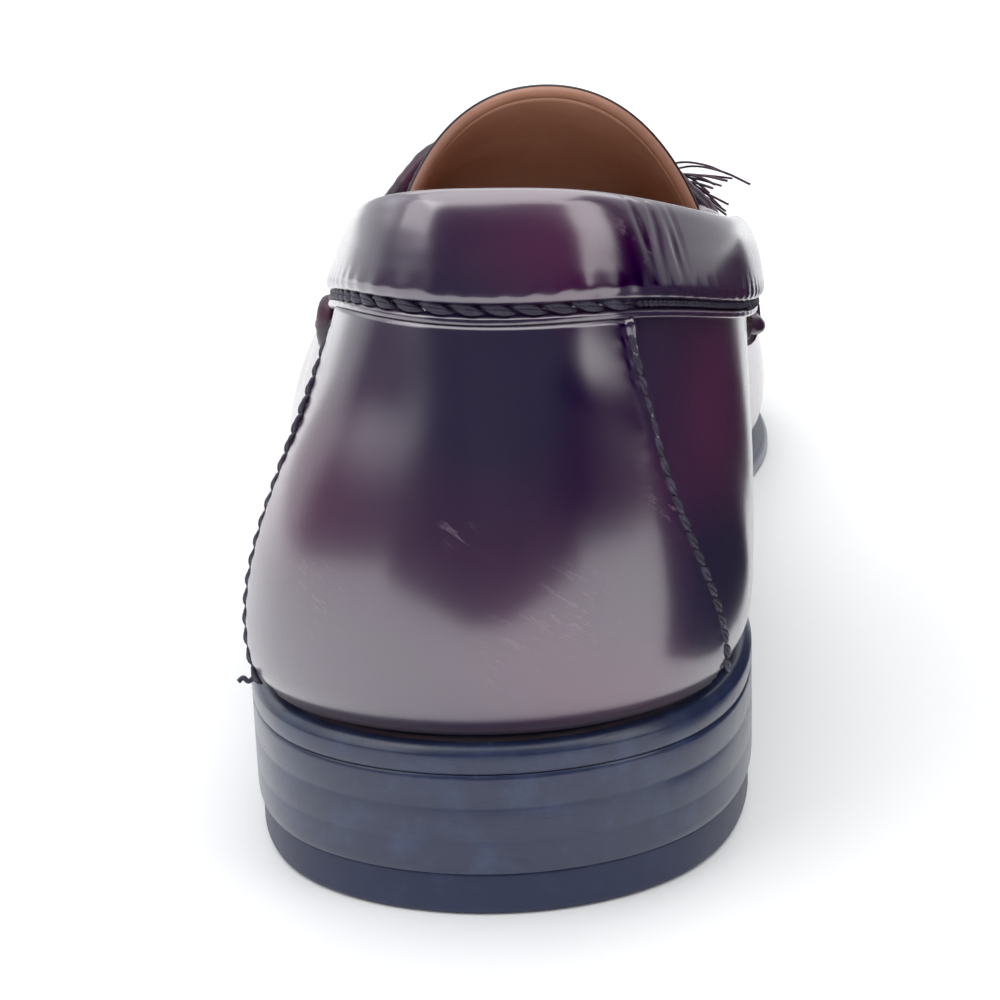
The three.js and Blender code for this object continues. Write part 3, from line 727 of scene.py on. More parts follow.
finishes = {
    "upper": polishedLeather("polishedOxblood", oxblood),
    "band": polishedLeather("polishedBand", oxblood, 0.02),
    "rim": laceLeather("darkRim", darkRim),
    "soleEdge": inkedEdge("inkedSoleEdge", edgeInk, 0.5),
    "heelStack": inkedEdge("inkedHeelStack", edgeInk, 0.6),
    "lift": liftRubber("liftRubber", rubber),
    "lining": liningLeather("tanLining", tan),
    "insole": liningLeather("tanInsole", insoleTan),
    "shadedTurn": liningLeather("shadedTurnLining", shadedTurnTan),
    "lace": laceLeather("laceLeather", lacing),
    "thread": waxedThread("navyThread", navy),
}
print("finishes made")

# Creases: soft troughs (below 0) and ridges between two points of the surface, in shoe sizes


def softCreases(points, normals, creases):
    for begin, end, deep, broad in creases:
        a, b = np.asarray(begin, float), np.asarray(end, float)
        run = b - a
        s = np.clip(((points - a) * run).sum(-1) / run.dot(run), 0, 1)
        far = np.linalg.norm(points - (a + s[..., None] * run), axis=-1)
        points = points + normals * (deep * bell(far, broad))[..., None]
    return points


def gridNormals(grid, around=False):
    if around:
        along = np.roll(grid, -1, 0) - np.roll(grid, 1, 0)
    else:
        along = np.gradient(grid, axis=0)
    return unit(np.cross(np.gradient(grid, axis=1), along))


def onWall(name, t):
    return wall(place[name], t)


upperShape = {
    "columns": 480,
    "rows": 56,
    "skin": 1.2,
    "lining": 0.7,
    "tuck": 1.0,  # how far the leather turns in at the sole
    "feather": 2.9,  # and how high up it does, which is also the breadth of the painted shade there
    "dents": (  # from, to, height, breadth
        (wall(0.94, 0.62), wall(0.92, 0.3), -0.7, 9.0),
        (wall(0.03, 0.66), wall(0.06, 0.6), -0.55, 6.0),
        (wall(0.985, 0.7), wall(0.965, 0.62), 0.35, 5.0),
        (onWall("waistIn", 0.75), onWall("quarterIn", 0.35), -0.9, 11.0),
        (onWall("waistOut", 0.7), onWall("quarterOut", 0.35), -0.9, 11.0),
        (onWall("throatIn", 0.8), onWall("waistIn", 0.5), 0.5, 8.0),
        (onWall("throatOut", 0.8), onWall("waistOut", 0.5), 0.5, 8.0),
    ),
    "flexes": (
        (onWall("ballOut", 0.92), onWall("vampOut", 0.45), -0.26, 4.6),
        (onWall("vampOut", 0.95), wall(mix(place["throatOut"], place["vampOut"], 0.6), 0.5), -0.22, 4.8),
        (onWall("ballIn", 0.92), onWall("vampIn", 0.45), -0.26, 4.6),
        (onWall("vampIn", 0.95), wall(mix(place["throatIn"], place["vampIn"], 0.6), 0.5), -0.22, 4.8),
    ),
}


def addUpper():
    u = np.linspace(0, 1, upperShape["columns"], endpoint=False)[:, None]
    t = np.linspace(0, 1, upperShape["rows"])[None, :]
    grid = wall(u, t, -upperShape["tuck"] * bell(aboveFoot(wall(u, t)), upperShape["feather"]))
    normals = gridNormals(grid, True)
    grid = softCreases(grid, normals, upperShape["dents"] + upperShape["flexes"])
    made = sheet(
        "upperLeather", grid, finishes["upper"], "polished_leather", upperShape["skin"],
        around=True, feather=upperShape["feather"],
    )
    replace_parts(made, "upper")
    coarse = wall(u[::2], np.linspace(0.045, 0.99, 24)[None, :], -upperShape["skin"] - 0.05)
    sheet("quarterLining", coarse, finishes["lining"], "lining", upperShape["lining"], around=True)
    return grid


apronShape = {
    "columns": 150,
    "rows": 101,
    "stretches": 6,  # of each crease, and the share by which they add up where they meet
    "overlap": 1.35,
    "creases": (  # from, to, height, breadth, at (throat to toe, across)
        ((0.5, -0.95), (0.54, 0.9), -0.3, 3.4),
        ((0.58, -0.9), (0.6, 0.95), -0.22, 3.2),
        ((0.44, -0.95), (0.46, 0.95), -0.2, 3.6),
    ),
}


def addApron():
    s = np.linspace(0, 1, apronShape["columns"])[:, None]
    w = np.linspace(-1, 1, apronShape["rows"])[None, :]
    grid = apron(s, w)
    creases = []
    for begin, end, deep, broad in apronShape["creases"]:
        shares = np.linspace(0, 1, apronShape["stretches"] + 1)
        along = [apron(mix(begin[0], end[0], k), mix(begin[1], end[1], k)) for k in shares]
        creases += [(a, b, deep / apronShape["overlap"], broad) for a, b in zip(along, along[1:])]
    grid = softCreases(grid, -gridNormals(grid), creases)
    sheet("apronLeather", grid, finishes["upper"], "polished_leather", upperShape["skin"], merge=0.02)
    lining = apronOff(s[::2], w[:, ::2], -upperShape["skin"] - 0.05)
    sheet("vampLining", lining, finishes["lining"], "lining", upperShape["lining"], merge=0.02)
    return grid


upperGrid = addUpper()
apronGrid = addApron()
print("upper and apron made")


def topTree():
    points, faces = [], []
    for grid, around in ((upperGrid, True), (apronGrid, False)):
        faces += [tuple(i + len(points) for i in face) for face in gridFaces(*grid.shape[:2], around)]
        points += grid.reshape(-1, 3).tolist()
    return BVHTree.FromPolygons(points, faces)


tree = topTree()


def topHeight(x, y):
    hit = tree.ray_cast(Vector((x, y, last["length"])), Vector((0, 0, -1)))
    return hit[0].z if hit[0] else soleTop(y)


def resting(x, y, off, step=2.5):
    slopeX = (topHeight(x + step, y) - topHeight(x - step, y)) / (2 * step)
    slopeY = (topHeight(x, y + step) - topHeight(x, y - step)) / (2 * step)
    normal = unit(np.array([-slopeX, -slopeY, 1.0]))
    return np.array([x, y, topHeight(x, y)]) + normal * off, normal


# Stitches: two plies of thread that turn round each other, and dive in at both ends

stitch = {
    "points": 9,
    "sunk": 0.35,  # its ends dive in, in shares of its thickness
    "turns": 1.3,  # half turns of its two plies round each other
    "apart": 0.25,
    "ply": 0.31,
    "single": 0.5,
}


def stitches(pile, line, normals, pitch, long, thick, slant=0.0, rise=0.6, plies=2):
    run = lineLength(line)
    side = np.cross(unit(np.gradient(line, axis=0)), normals)
    s = np.linspace(-0.5, 0.5, stitch["points"])
    bulge = np.cos(np.pi * s) ** 0.6
    spread = (stitch["apart"] if plies > 1 else 0) * thick * bulge
    width = (stitch["ply"] if plies > 1 else stitch["single"]) * thick * (0.25 + 0.75 * bulge)
    for k in range(int((run[-1] - long) / pitch) + 1):
        spots = long / 2 + k * pitch + s * long
        lift = unit(readAt(run, normals, spots))
        across = unit(readAt(run, side, spots))
        spine = readAt(run, line, spots) + across * (s * slant * long)[:, None]
        spine = spine + lift * (thick * (rise * bulge - stitch["sunk"]))[:, None]
        for ply in range(plies):
            turn = np.pi * (ply + stitch["turns"] * s)
            aside = across * (np.cos(turn) * spread)[:, None]
            above = lift * (np.sin(turn) * spread * 0.6)[:, None]
            pile.add(*tube(spine + aside + above, width, 7, lift=lift))


# Collar band: padded, rolled over the topline and turned down inside

band = {
    "clear": 4.0,  # from the throat's corners
    "columns": 560,
    "section": (  # down from the topline, out of the wall
        (12.0, 0.3), (12.2, 0.8), (12.05, 1.4), (11.6, 1.55), (11.3, 1.35), (11.0, 0.9),
        (10.5, 0.85), (10.2, 1.3), (9.95, 2.05), (9.3, 2.5), (7.8, 2.55), (6.0, 2.42),
        (4.2, 2.22), (2.6, 1.95), (1.2, 1.55), (-0.1, 1.0), (-0.95, 0.2), (-1.2, -0.7),
        (-1.05, -1.9), (-0.4, -2.9), (1.4, -3.5), (3.6, -3.45), (4.9, -3.05), (5.0, -2.65),
        (2.0, -2.6), (0.2, -2.4), (-0.3, -1.2), (0.2, 0.25), (6.0, 0.3), (11.0, 0.3),
    ),
    "deeper": (0.1, 24.0),  # how much deeper the band is at the heel's back, and over what breadth
    "bottom": 12.2,
    "stitchDown": 10.6,
    "stitch": {"pitch": 3.5, "long": 4.5, "thick": 1.2, "slant": 0.22},
    "fineStitch": {"pitch": 0.95, "long": 1.15, "thick": 0.75, "slant": 0.22},
    "clearEnd": 8,  # columns without a stitch at each end
    "pucker": (0.07, 0.8, 1.9),  # height, how far above the stitches, breadth
    "waves": ((0.13, 9.0, 0), (0.08, 4.1, 1)),  # height, length, phase
    "gathers": {"from": 0.9435, "count": 7, "apart": 1.25, "deep": 0.24, "broad": 0.5},
    "pleats": {"from": 0.905, "to": 0.962, "apart": 0.85, "deep": 0.1, "above": 1.3, "broad": 1.1},
    "taper": 3.0,
}


def bandDeep(u):  # the band's depth at u, over its depth at the sides
    away = ((u + 0.5) % 1 - 0.5) * girth
    more, broad = band["deeper"]
    return 1 + more * bell(away, broad)


def bandEnds():
    clear = band["clear"] / girth
    return throatIn + clear, 1 + throatOut - clear


def bandGathers(u, run, down, off):  # short uneven folds that slant a little
    look = band["gathers"]
    first = np.interp(look["from"], u, run)
    shown = np.clip((off + 2.0) / 3.0, 0, 1)
    folds = np.zeros((len(u), len(down)))
    for k in range(look["count"]):
        centre = first + look["apart"] * k + 0.5 * math.sin(2.3 * k)
        skew = (down - 4.0) * 0.16 * math.sin(1.7 * k)
        reach = bell(down - 1.5 - 1.2 * (k % 3), 3.8) * shown
        share = look["deep"] * (0.6 + 0.4 * math.sin(3.1 * k + 1))
        folds += share * reach[None, :] * bell(run[:, None] - centre - skew[None, :], look["broad"])
    return folds


def bandPleats(u, run, down, outer):  # fine ones above the stitches
    look = band["pleats"]
    among = np.clip((u - look["from"]) / 0.01, 0, 1) * np.clip((look["to"] - u) / 0.01, 0, 1)
    above = bell(down - band["stitchDown"] + look["above"], look["broad"]) * outer
    return look["deep"] * (among * np.cos(2 * np.pi * run / look["apart"]))[:, None] * above[None, :]


def bandLevel(u, run, down, off):
    outer = np.clip((off - 0.3) / 1.2, 0, 1)
    pucker, above, broad = band["pucker"]
    near = bell(down - band["stitchDown"] + above, broad)
    pinch = np.cos(2 * np.pi * run / band["stitch"]["pitch"])[:, None] * (pucker * outer * near)[None, :]
    waves = sum(high * np.sin(run / long + phase) for high, long, phase in band["waves"])
    swell = waves[:, None] * (outer * np.clip((9.0 - down) / 4.0, 0, 1))[None, :]
    taper = np.clip(np.minimum(run, run[-1] - run) / band["taper"], 0, 1) ** 0.5
    folds = bandPleats(u, run, down, outer) - bandGathers(u, run, down, off)
    return off[None, :] * (0.45 + 0.55 * taper[:, None]) + pinch + folds + swell


def addBandStitches(u, depth):
    rows = [nearEdge(u, depth, off) for off in (1.15, 2.15)]
    lift = unit(rows[1] - rows[0])
    clear = band["clearEnd"]
    fine = (u > band["pleats"]["from"] + 0.004) & (u < band["pleats"]["to"])
    before = slice(clear, int(np.argmax(fine)))
    after = slice(int(len(u) - np.argmax(fine[::-1])), len(u) - clear - 1)
    threads = Pile()
    for inside, look in ((before, "stitch"), (fine, "fineStitch"), (after, "stitch")):
        stitches(threads, rows[0][inside], lift[inside], **band[look])
    threads.piece("bandStitches", finishes["thread"], "lace_leather")


def addBand():
    u = np.linspace(*bandEnds(), band["columns"])
    down, off = smoothLine(band["section"] + band["section"][:1], 4)[:-1].T
    depth = band["stitchDown"] * bandDeep(u)
    run = lineLength(nearEdge(u, depth, 1.0))
    lowered = np.where(down[None, :] > 0, down[None, :] * bandDeep(u)[:, None], down[None, :])
    points = nearEdge(u[:, None], lowered, bandLevel(u, run, down, off))
    pile = Pile()
    pile.add(points, ringed(points))
    made = pile.piece("collarBand", finishes["band"], "polished_leather")
    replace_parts(made, "collar_band")
    addBandStitches(u, depth)


addBand()
print("collar band made")

# Back counter: an overlay round the heel between its two slanted, thickly stitched seams

counter = {
    "out": ((0.0, 0.05), (0.12, 0.0525), (0.25, 0.055), (0.5, 0.059), (0.64, 0.0635), (0.85, 0.0705)),  # t, u
    "in": ((0.0, -0.0525), (0.09, -0.05), (0.22, -0.046), (0.35, -0.0418), (0.5, -0.0385), (0.85, -0.0375)),
    "floor": 0.012,
    "ceiling": 0.82,
    "thick": 1.1,
    "columns": 260,
    "rows": 90,
    "edge": 0.7,  # over which it rises to its thickness
    "inset": 1.3,  # seam to stitches
    "groove": (0.3, 0.8),  # depth and breadth under the stitches
    "pucker": (0.07, 1.4),
    "tuck": 0.75,
    "lifted": (0.75, 3.2, 1.3),  # the worn top corner at the inner seam: height, breadth down and along
    "stitch": {"pitch": 2.45, "long": 3.3, "thick": 1.15, "rise": 0.55},
    "slant": 0.25,
    "threadEnd": ((-29.4, -17.6, 25.0), (-30.3, -18.2, 24.5), (-30.9, -18.0, 24.9), (-31.5, -18.3, 24.5)),
}


def counterSeam(side, t):
    line = smoothLine(counter[side], 8)
    return np.interp(t, line[:, 0], line[:, 1])


def counterLevel(ground):
    run = np.linalg.norm(np.diff(ground, axis=0), axis=-1)
    run = np.vstack([np.zeros(counter["rows"]), np.cumsum(run, 0)])
    edge = np.minimum(run, run[-1] - run)
    above = aboveFoot(ground)
    below = above[:, -1:] - above
    groove, grooveWide = counter["groove"]
    pucker, puckerWide = counter["pucker"]
    lifted, down, beside = counter["lifted"]
    level = last["gap"] + counter["thick"] * np.clip(edge / counter["edge"], 0, 1) ** 0.5
    level -= groove * bell(edge - counter["inset"], grooveWide)
    level -= (upperShape["tuck"] + counter["tuck"]) * bell(above, upperShape["feather"])
    level += lifted * bell(below, down) * bell(run, beside)
    beat = np.cos(2 * np.pi * above / counter["stitch"]["pitch"])
    return level + pucker * beat * bell(edge - counter["inset"], puckerWide)


def addCounterStitches(rows, seams):
    threads = Pile()
    for seam, way in zip(seams, (-1, 1)):
        inside = seam + way * counter["inset"] / girth
        ceiling = 1 - (band["bottom"] + 1.2) * bandDeep(inside) / ribLength(inside)
        rise = np.clip(rows, 0.025, ceiling)
        rise = rise[: int(np.argmax(rise)) + 1]
        inside = inside[: len(rise)]
        low, high = (wall(inside, rise, off)[::-1] for off in (0.95, 1.95))
        stitches(threads, low, unit(high - low), slant=-counter["slant"] * way, **counter["stitch"])
    threads.add(*tube(smoothLine(counter["threadEnd"], 6), 0.32, 7))
    threads.piece("counterStitches", finishes["thread"], "lace_leather")


def addCounter():
    floor, ceiling = counter["floor"], counter["ceiling"]
    rows = mix(floor, ceiling, np.linspace(0, 1, counter["rows"]))
    seams = counterSeam("out", rows), counterSeam("in", rows)
    s = np.linspace(0, 1, counter["columns"])
    s = s - 0.12 * np.sin(4 * np.pi * s) / (4 * np.pi)  # more columns near the seams
    u = mix(seams[1][None, :], seams[0][None, :], s[:, None])
    top = 1 - band["bottom"] * bandDeep(u) / ribLength(u)
    t = floor + (rows[None, :] - floor) * (top - floor) / (ceiling - floor)
    grid = wall(u, t, counterLevel(wall(u, t)))
    grid = softCreases(grid, gridNormals(grid), upperShape["dents"])
    made = sheet(
        "backCounter", grid, finishes["upper"], "polished_leather", counter["thick"] - 0.1,
        feather=upperShape["feather"],
    )
    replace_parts(made, "back_counter")
    addCounterStitches(rows, seams)


addCounter()
print("back counter made")

# Moccasin seam: a pinched ridge where apron and wall meet, sewn over by hand

moccasin = {
    "radius": 1.35,
    "lift": 0.15,
    "pinched": 0.2,  # share by which it is thinner at a stitch
    "pitch": 4.6,
    "thread": 0.75,
    "wrap": 2.0,  # radians of a stitch on each side of the ridge's top
    "slant": 0.28,
    "beside": 0.985,  # where across the apron its slope is read
}


def seamWays(u):
    point = seamPoint(u)
    out = unit(wall(u, 1.0, 1.0) - point)
    s = np.where(u < toe, (u - throatOut) / (toe - throatOut), (throatIn - u) / (throatIn - toe))
    w = np.where(u < toe, -1.0, 1.0) * moccasin["beside"]
    over = unit(apronOff(s, w, np.ones_like(s)) - apronOff(s, w, np.zeros_like(s)))
    over = np.where((over[..., 2] < 0)[..., None], -over, over)
    return point, unit(out + over), out, over


def addMoccasinStitches(u, point, run):
    threads = Pile()
    turn = np.linspace(-moccasin["wrap"], moccasin["wrap"], 11)[:, None]
    radius = moccasin["radius"] * 0.82 + moccasin["thread"] * 0.3
    ways = unit(np.gradient(point, axis=0))
    for k in range(1, int(run[-1] / moccasin["pitch"])):
        at = np.interp(k * moccasin["pitch"], run, u)
        middle, up, _, _ = (v[0] for v in seamWays(np.array([at])))
        way = ways[np.searchsorted(u, at)]
        side = np.cross(way, up)
        arc = middle + up * moccasin["lift"] + (side * np.sin(turn) + up * np.cos(turn)) * radius
        threads.add(*tube(arc + way * turn * moccasin["slant"], moccasin["thread"] / 2, 7))
    threads.piece("apronStitches", finishes["thread"], "lace_leather")


def addMoccasinSeam():
    u = np.linspace(throatOut, throatIn, 520)
    point, lift, _, _ = seamWays(u)
    run = lineLength(point)
    beat = np.abs(np.sin(np.pi * run / moccasin["pitch"])) ** 0.6
    taper = np.clip(np.minimum(run, run[-1] - run) / 2.0, 0.15, 1) ** 0.5
    radius = moccasin["radius"] * (1 - moccasin["pinched"] * (1 - beat)) * taper
    pile = Pile()
    pile.add(*tube(point + lift * moccasin["lift"], radius, 14, 1.05, lift))
    pile.piece("apronSeam", finishes["upper"], "polished_leather")
    addMoccasinStitches(u, point, run)


addMoccasinSeam()
print("moccasin seam made")

# Throat: a narrow dark binding along the apron's free edge, with a row of small stitches inside

throat = {
    "edges": (  # name, finish, slot, radius, sides, how flat, how far back and below
        ("throatRim", "rim", "polished_leather", 0.38, 12, 1.0, 0.1, 0.32),
        # the turned lining is painted in shade with the darker copy of the lining
        ("throatLining", "shadedTurn", "lining", 0.75, 14, 1.2, 0.02, 1.1),
    ),
    "stitchIn": 2.2,
    "stitch": {"pitch": 2.3, "long": 1.7, "thick": 0.5, "rise": 0.45, "plies": 1},
}


def addThroat():
    w = np.linspace(-1, 1, 121)
    edge = apron(0.0, w)
    up = unit(apronOff(np.zeros_like(w), w, np.ones_like(w)) - edge)
    up = np.where((up[:, 2] < 0)[:, None], -up, up)
    back = unit(edge - apron(0.02, w))
    for name, finish, slot, radius, sides, flat, behind, below in throat["edges"]:
        pile = Pile()
        pile.add(*tube(edge + back * behind - up * below, radius, sides, flat, up))
        pile.piece(name, finishes[finish], slot)
    ahead = throat["stitchIn"] / np.linalg.norm(apron(0.1, 0.0) - apron(0.0, 0.0)) * 0.1
    inner = np.linspace(-0.97, 0.97, 121)
    level = np.zeros_like(inner)
    row = apronOff(level + ahead, inner, level)
    normals = unit(apronOff(level + ahead, inner, level + 1) - row)
    threads = Pile()
    stitches(threads, row, normals, **throat["stitch"])
    threads.piece("throatStitches", finishes["thread"], "lace_leather")


addThroat()
print("throat made")

# Sole, heel, lift and insole: layers across the shoe between its outer and inner side


def plan(u, extra):
    away = outward(u)
    return stack(footX(u) + away[..., 0] * extra, footY(u) + away[..., 1] * extra)


def soleExtra(u):
    return last["soleMargin"] * margin(u)


def layer(name, finish, slot, ends, edge, extra, low, high, hollow=0.0, stations=200, across=16, sharp=None):
    share = np.linspace(0, 1, stations)
    s = 1 - np.cos(np.pi / 2 * share) if hollow else 0.5 - 0.5 * np.cos(np.pi * share)
    sides = [s * ends[0], 1 + s * (ends[1] - 1)]

    def ring(u, height, inset):
        flat = plan(u, extra(u) - inset)
        bottom, top = low(flat[..., 1]), high(flat[..., 1])
        return stack(flat[..., 0], flat[..., 1], mix(bottom, top, height))

    def floor(a, b, z):
        k = np.linspace(0, 1, across)[None, :, None]
        line = mix(a[:, None], b[:, None], k)
        line[..., 1] -= hollow * 4 * (k * (1 - k))[..., 0] * (s**3)[:, None]
        line[..., 2] = z(line[..., 1])
        return line

    outer, inner = ([ring(u, *step) for step in edge] for u in sides)
    bottom, top = floor(outer[0], inner[0], low), floor(outer[-1], inner[-1], high)
    rise = np.stack(inner[1:-1], 1)
    fall = np.stack(outer[1:-1][::-1], 1)
    section = np.concatenate([bottom, rise, top[:, ::-1], fall], 1)
    pile = Pile()
    faces = gridFaces(stations, section.shape[1], closed=True)
    if hollow:
        base, n, m = (stations - 1) * section.shape[1], across, len(edge) - 2
        topAt = [base + n + m + n - 1 - j for j in range(n)]
        faces += [(base + j, base + j + 1, topAt[j + 1], topAt[j]) for j in range(n - 1)]
        faces.append((base + n - 1, *(base + n + j for j in range(m)), topAt[n - 1]))
        faces.append((topAt[0], *(base + 2 * n + m + j for j in range(m)), base))
    pile.add(section, faces)
    return pile.piece(name, finish, slot, sharp=sharp, merge=0.004)


def cornerPlace(a, b):
    for _ in range(40):
        middle = (a + b) / 2
        if footY(middle) < last["breast"] - start:
            a = middle
        else:
            b = middle
    return a


heel = {
    "lift": 5.6,
    "taper": {"stack": 0.02, "lift": 0.56},
    "rounded": {  # how high on the edge, how far in
        "sole": (
            (0, 0.45), (0.05, 0.12), (0.2, 0.0), (0.62, 0.0),
            (0.7, 0.1), (0.78, 0.34), (0.92, 0.62), (1, 1.3),
        ),
        "stack": (
            (0, 0.22), (0.02, 0.06), (0.08, 0.02), (0.32, 0.0), (0.33, 0.035), (0.345, 0.0),
            (0.66, 0.0), (0.675, 0.07), (0.69, 0.01), (0.95, 0.0), (0.985, 0.06), (1, 0.2),
        ),
        "lift": ((0, 0.75), (0.06, 0.25), (0.16, 0.02), (0.9, 0.0), (0.97, 0.05), (1, 0.24)),
        "insole": ((0, 0.1), (0.15, 0), (0.8, 0), (0.95, 0.2), (1, 0.6)),
    },
    "insole": 2.2,
}


def addSole():
    made = layer(
        "leatherSole", finishes["soleEdge"], "sole_edge", (toe, toe), heel["rounded"]["sole"], soleExtra,
        lambda y: soleTop(y) - last["sole"], soleTop, stations=320, sharp=50,
    )
    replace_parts(made, "outsole")


def addHeel():
    flat = lambda z: (lambda y: np.full_like(np.asarray(y, float), z))
    ends = cornerPlace(0, place["waistOut"]), cornerPlace(1, place["waistIn"])
    seat = last["seat"] - last["sole"]
    for name, finish, slot, edge, low, high, node in (
        ("heelStack", "heelStack", "heel_leather", "stack", heel["lift"], seat, "heel_stack"),
        ("topLift", "lift", "lift_rubber", "lift", 0.0, heel["lift"], "top_lift"),
    ):
        extra = lambda u, taper=heel["taper"][edge]: soleExtra(u) - taper
        made = layer(
            name, finishes[finish], slot, ends, heel["rounded"][edge], extra,
            flat(low), flat(high), last["hollow"], sharp=50,
        )
        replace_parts(made, node)


def addInsole():
    bed = lambda y: soleTop(y) + last["gap"]
    made = layer(
        "leatherInsole", finishes["insole"], "lining", (toe, toe), heel["rounded"]["insole"],
        lambda u: -last["leather"] - last["gap"] + 0 * u, bed, lambda y: bed(y) + heel["insole"],
        stations=240, sharp=60,
    )
    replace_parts(made, "insole")


addSole()
addHeel()
addInsole()
print("sole, heel, lift and insole made")

# Lace: from its slot on each side, along the quarter and over the apron, under the knot

lace = {
    "wide": 3.2,
    "under": 15.2,  # below the topline: the band's height and one lace
    "lift": 1.7,  # its middle out of the surface
    "knotAt": 0.16,
    "end": 34.0,
    "ends": ((0.06, 0.122, 2), (0.25, 0.28, 1.2), (0.4, 0.46, 1), (0.42, 0.66, 1), (0.37, 0.86, 1.3)),
    "turn": 0.2,
    "keepers": ((38.0, 60.0, 53.0), (-28.0, 40.0, 58.0)),
    "keeper": {"half": 4.6, "wide": 3.2, "flat": 0.45},  # half its height, width along the lace
    "keeperShape": ((-0.5, 0.8), (-0.42, 0.95), (-0.2, 1), (0, 1.02), (0.2, 1), (0.42, 0.95), (0.5, 0.8)),
    "slot": (3.0, 2.0, 0.7),  # half its length and height, and its rim
    "cap": 11.0,
    "capWide": 8.5,
    "fringe": 27.0,
    "spread": 16.0,
}
knotSpot, _ = onSpine(lace["knotAt"])


def overSeam(u, off):
    point, up, _, _ = (v[0] for v in seamWays(np.array([u])))
    return point + up * off


def apronSpot(u, v, off):
    s = (u - throatOut) / (toe - throatOut) if u < toe else (throatIn - u) / (throatIn - toe)
    w = (v - 1) if u < toe else (1 - v)
    up = unit(apronOff(s, w, np.array(1.0)) - apron(s, w))
    up = up if up[2] > 0 else -up
    return apron(s, w) + up * off


def laceRoute(quarter, waist, throatAt, vamp):
    q, w, t, v = (place[name] for name in (quarter, waist, throatAt, vamp))
    under, lift = lace["under"], lace["lift"]
    return [
        nearEdge(mix(q, w, 0.36), under - 0.6, -1.2),
        nearEdge(mix(q, w, 0.43), under - 0.2, lift * 0.7),
        nearEdge(mix(q, w, 0.5), under, lift),
        nearEdge(mix(w, t, 0.1), under, lift),
        nearEdge(mix(w, t, 0.8), under, lift),
        nearEdge(mix(t, v, 0.16), under * 0.82, lift),
        nearEdge(mix(t, v, 0.34), under * 0.4, lift),
        overSeam(mix(t, v, 0.47), lift + 1.2),
        apronSpot(mix(t, v, 0.54), 0.16, lift + 0.2),
        apronSpot(mix(t, v, 0.62), 0.4, lift + 0.2),
        apronSpot(mix(t, v, 0.7), 0.7, lift),
    ]


def leatherTube(pile, line, radius):
    run = lineLength(line)
    uneven = 1 + 0.036 * np.sin(run * 1.1) + 0.024 * np.sin(run * 2.7 + 1)
    pile.add(*tube(line, radius * uneven, 14, 0.86))


def addKeepers(line):  # short loops that hold the lace to each quarter
    keepers = Pile()
    look = lace["keeper"]
    for spot in lace["keepers"]:
        at = int(np.linalg.norm(line - np.array(spot), axis=1).argmin())
        way = unit(line[at + 1] - line[at - 1])
        across = np.cross(way, unit(np.array([0, 0, 1.0]) - way * way[2]))
        spots = np.array([line[at] + way * k * look["wide"] for k, _ in lace["keeperShape"]])
        sizes = look["half"] * np.array([size for _, size in lace["keeperShape"]])
        keepers.add(*tube(spots, sizes, 20, look["flat"], np.tile(across, (len(spots), 1))))
    keepers.piece("laceKeepers", finishes["lace"], "lace_leather")


def addSlots():
    slots = Pile()
    long, high, rim = lace["slot"]
    turn = np.linspace(0, 2 * np.pi, 40, endpoint=False)
    for quarter, waist in (("quarterOut", "waistOut"), ("quarterIn", "waistIn")):
        at = mix(place[quarter], place[waist], 0.4)
        ring = nearEdge(at + long * np.cos(turn) / girth, lace["under"] - 0.4 + high * np.sin(turn), 0.35)
        slots.add(*tube(np.vstack([ring, ring[:1]]), rim, 8))
    slots.piece("laceSlots", finishes["rim"], "polished_leather")


def addLace():
    outer = laceRoute("quarterOut", "waistOut", "throatOut", "vampOut")
    inner = laceRoute("quarterIn", "waistIn", "throatIn", "vampIn")
    middle = resting(knotSpot[0], knotSpot[1], lace["lift"])[0]
    line = smoothLine([*outer, middle, *inner[::-1]], 14)
    pile = Pile()
    leatherTube(pile, line, lace["wide"] / 2)
    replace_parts(pile.piece("laceRun", finishes["lace"], "lace_leather"), "lace")
    addKeepers(line)
    addSlots()


addLace()

knot = {
    "lift": 2.78,
    "loops": ((-2.0, 0.66), (1.9, -0.6)),  # across, slant
    "loop": (3.1, 2.1),  # half its length and its height
    "over": (
        (-4.0, -2.4, -1.2), (-3.4, -1.8, 1.3), (-0.9, -0.4, 3.3),
        (1.3, 0.8, 3.3), (3.5, 2.1, 1.1), (4.0, 2.8, -1.0),
    ),
}


def addKnot():
    point, up = resting(knotSpot[0], knotSpot[1], knot["lift"])
    right = unit(np.cross(np.array([0, 1.0, 0]), up))
    ways = np.array([right, np.cross(up, right), up])
    turn = np.linspace(0, 2 * np.pi, 48)
    half = lace["wide"] / 2
    long, high = knot["loop"]
    pile = Pile()
    for aside, slant in knot["loops"]:
        ring = stack(aside + slant * np.cos(turn), long * np.cos(turn), high * np.sin(turn))
        leatherTube(pile, point + ring @ ways, half * 1.02)
    leatherTube(pile, smoothLine(point + np.array(knot["over"]) @ ways, 12), half * 0.98)
    made = pile.piece("laceKnot", finishes["lace"], "lace_leather")
    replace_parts(made, "lace_knot")
    return made


knotPiece = addKnot()


def endLine(way):
    points = [resting(knotSpot[0], knotSpot[1] + 1.0, lace["lift"] + 2.2)[0]]
    for across, ahead, lift in lace["ends"]:
        x, y = knotSpot[0] + way * across * lace["end"], knotSpot[1] + ahead * lace["end"]
        points.append(resting(x, y, lift * lace["lift"])[0])
    return points


def tasselFrame(way):
    across, ahead, _ = lace["ends"][-1]
    begin = np.array([knotSpot[0] + way * across * lace["end"], knotSpot[1] + ahead * lace["end"]])
    turn = way * lace["turn"]
    heading = np.array([math.sin(turn), math.cos(turn)])
    beside = np.array([heading[1], -heading[0]])

    def spot(forward, aside, off):
        x, y = begin + heading * forward + beside * aside
        return resting(x, y, off, 3.2)

    return spot, np.array([beside[0], beside[1], 0])


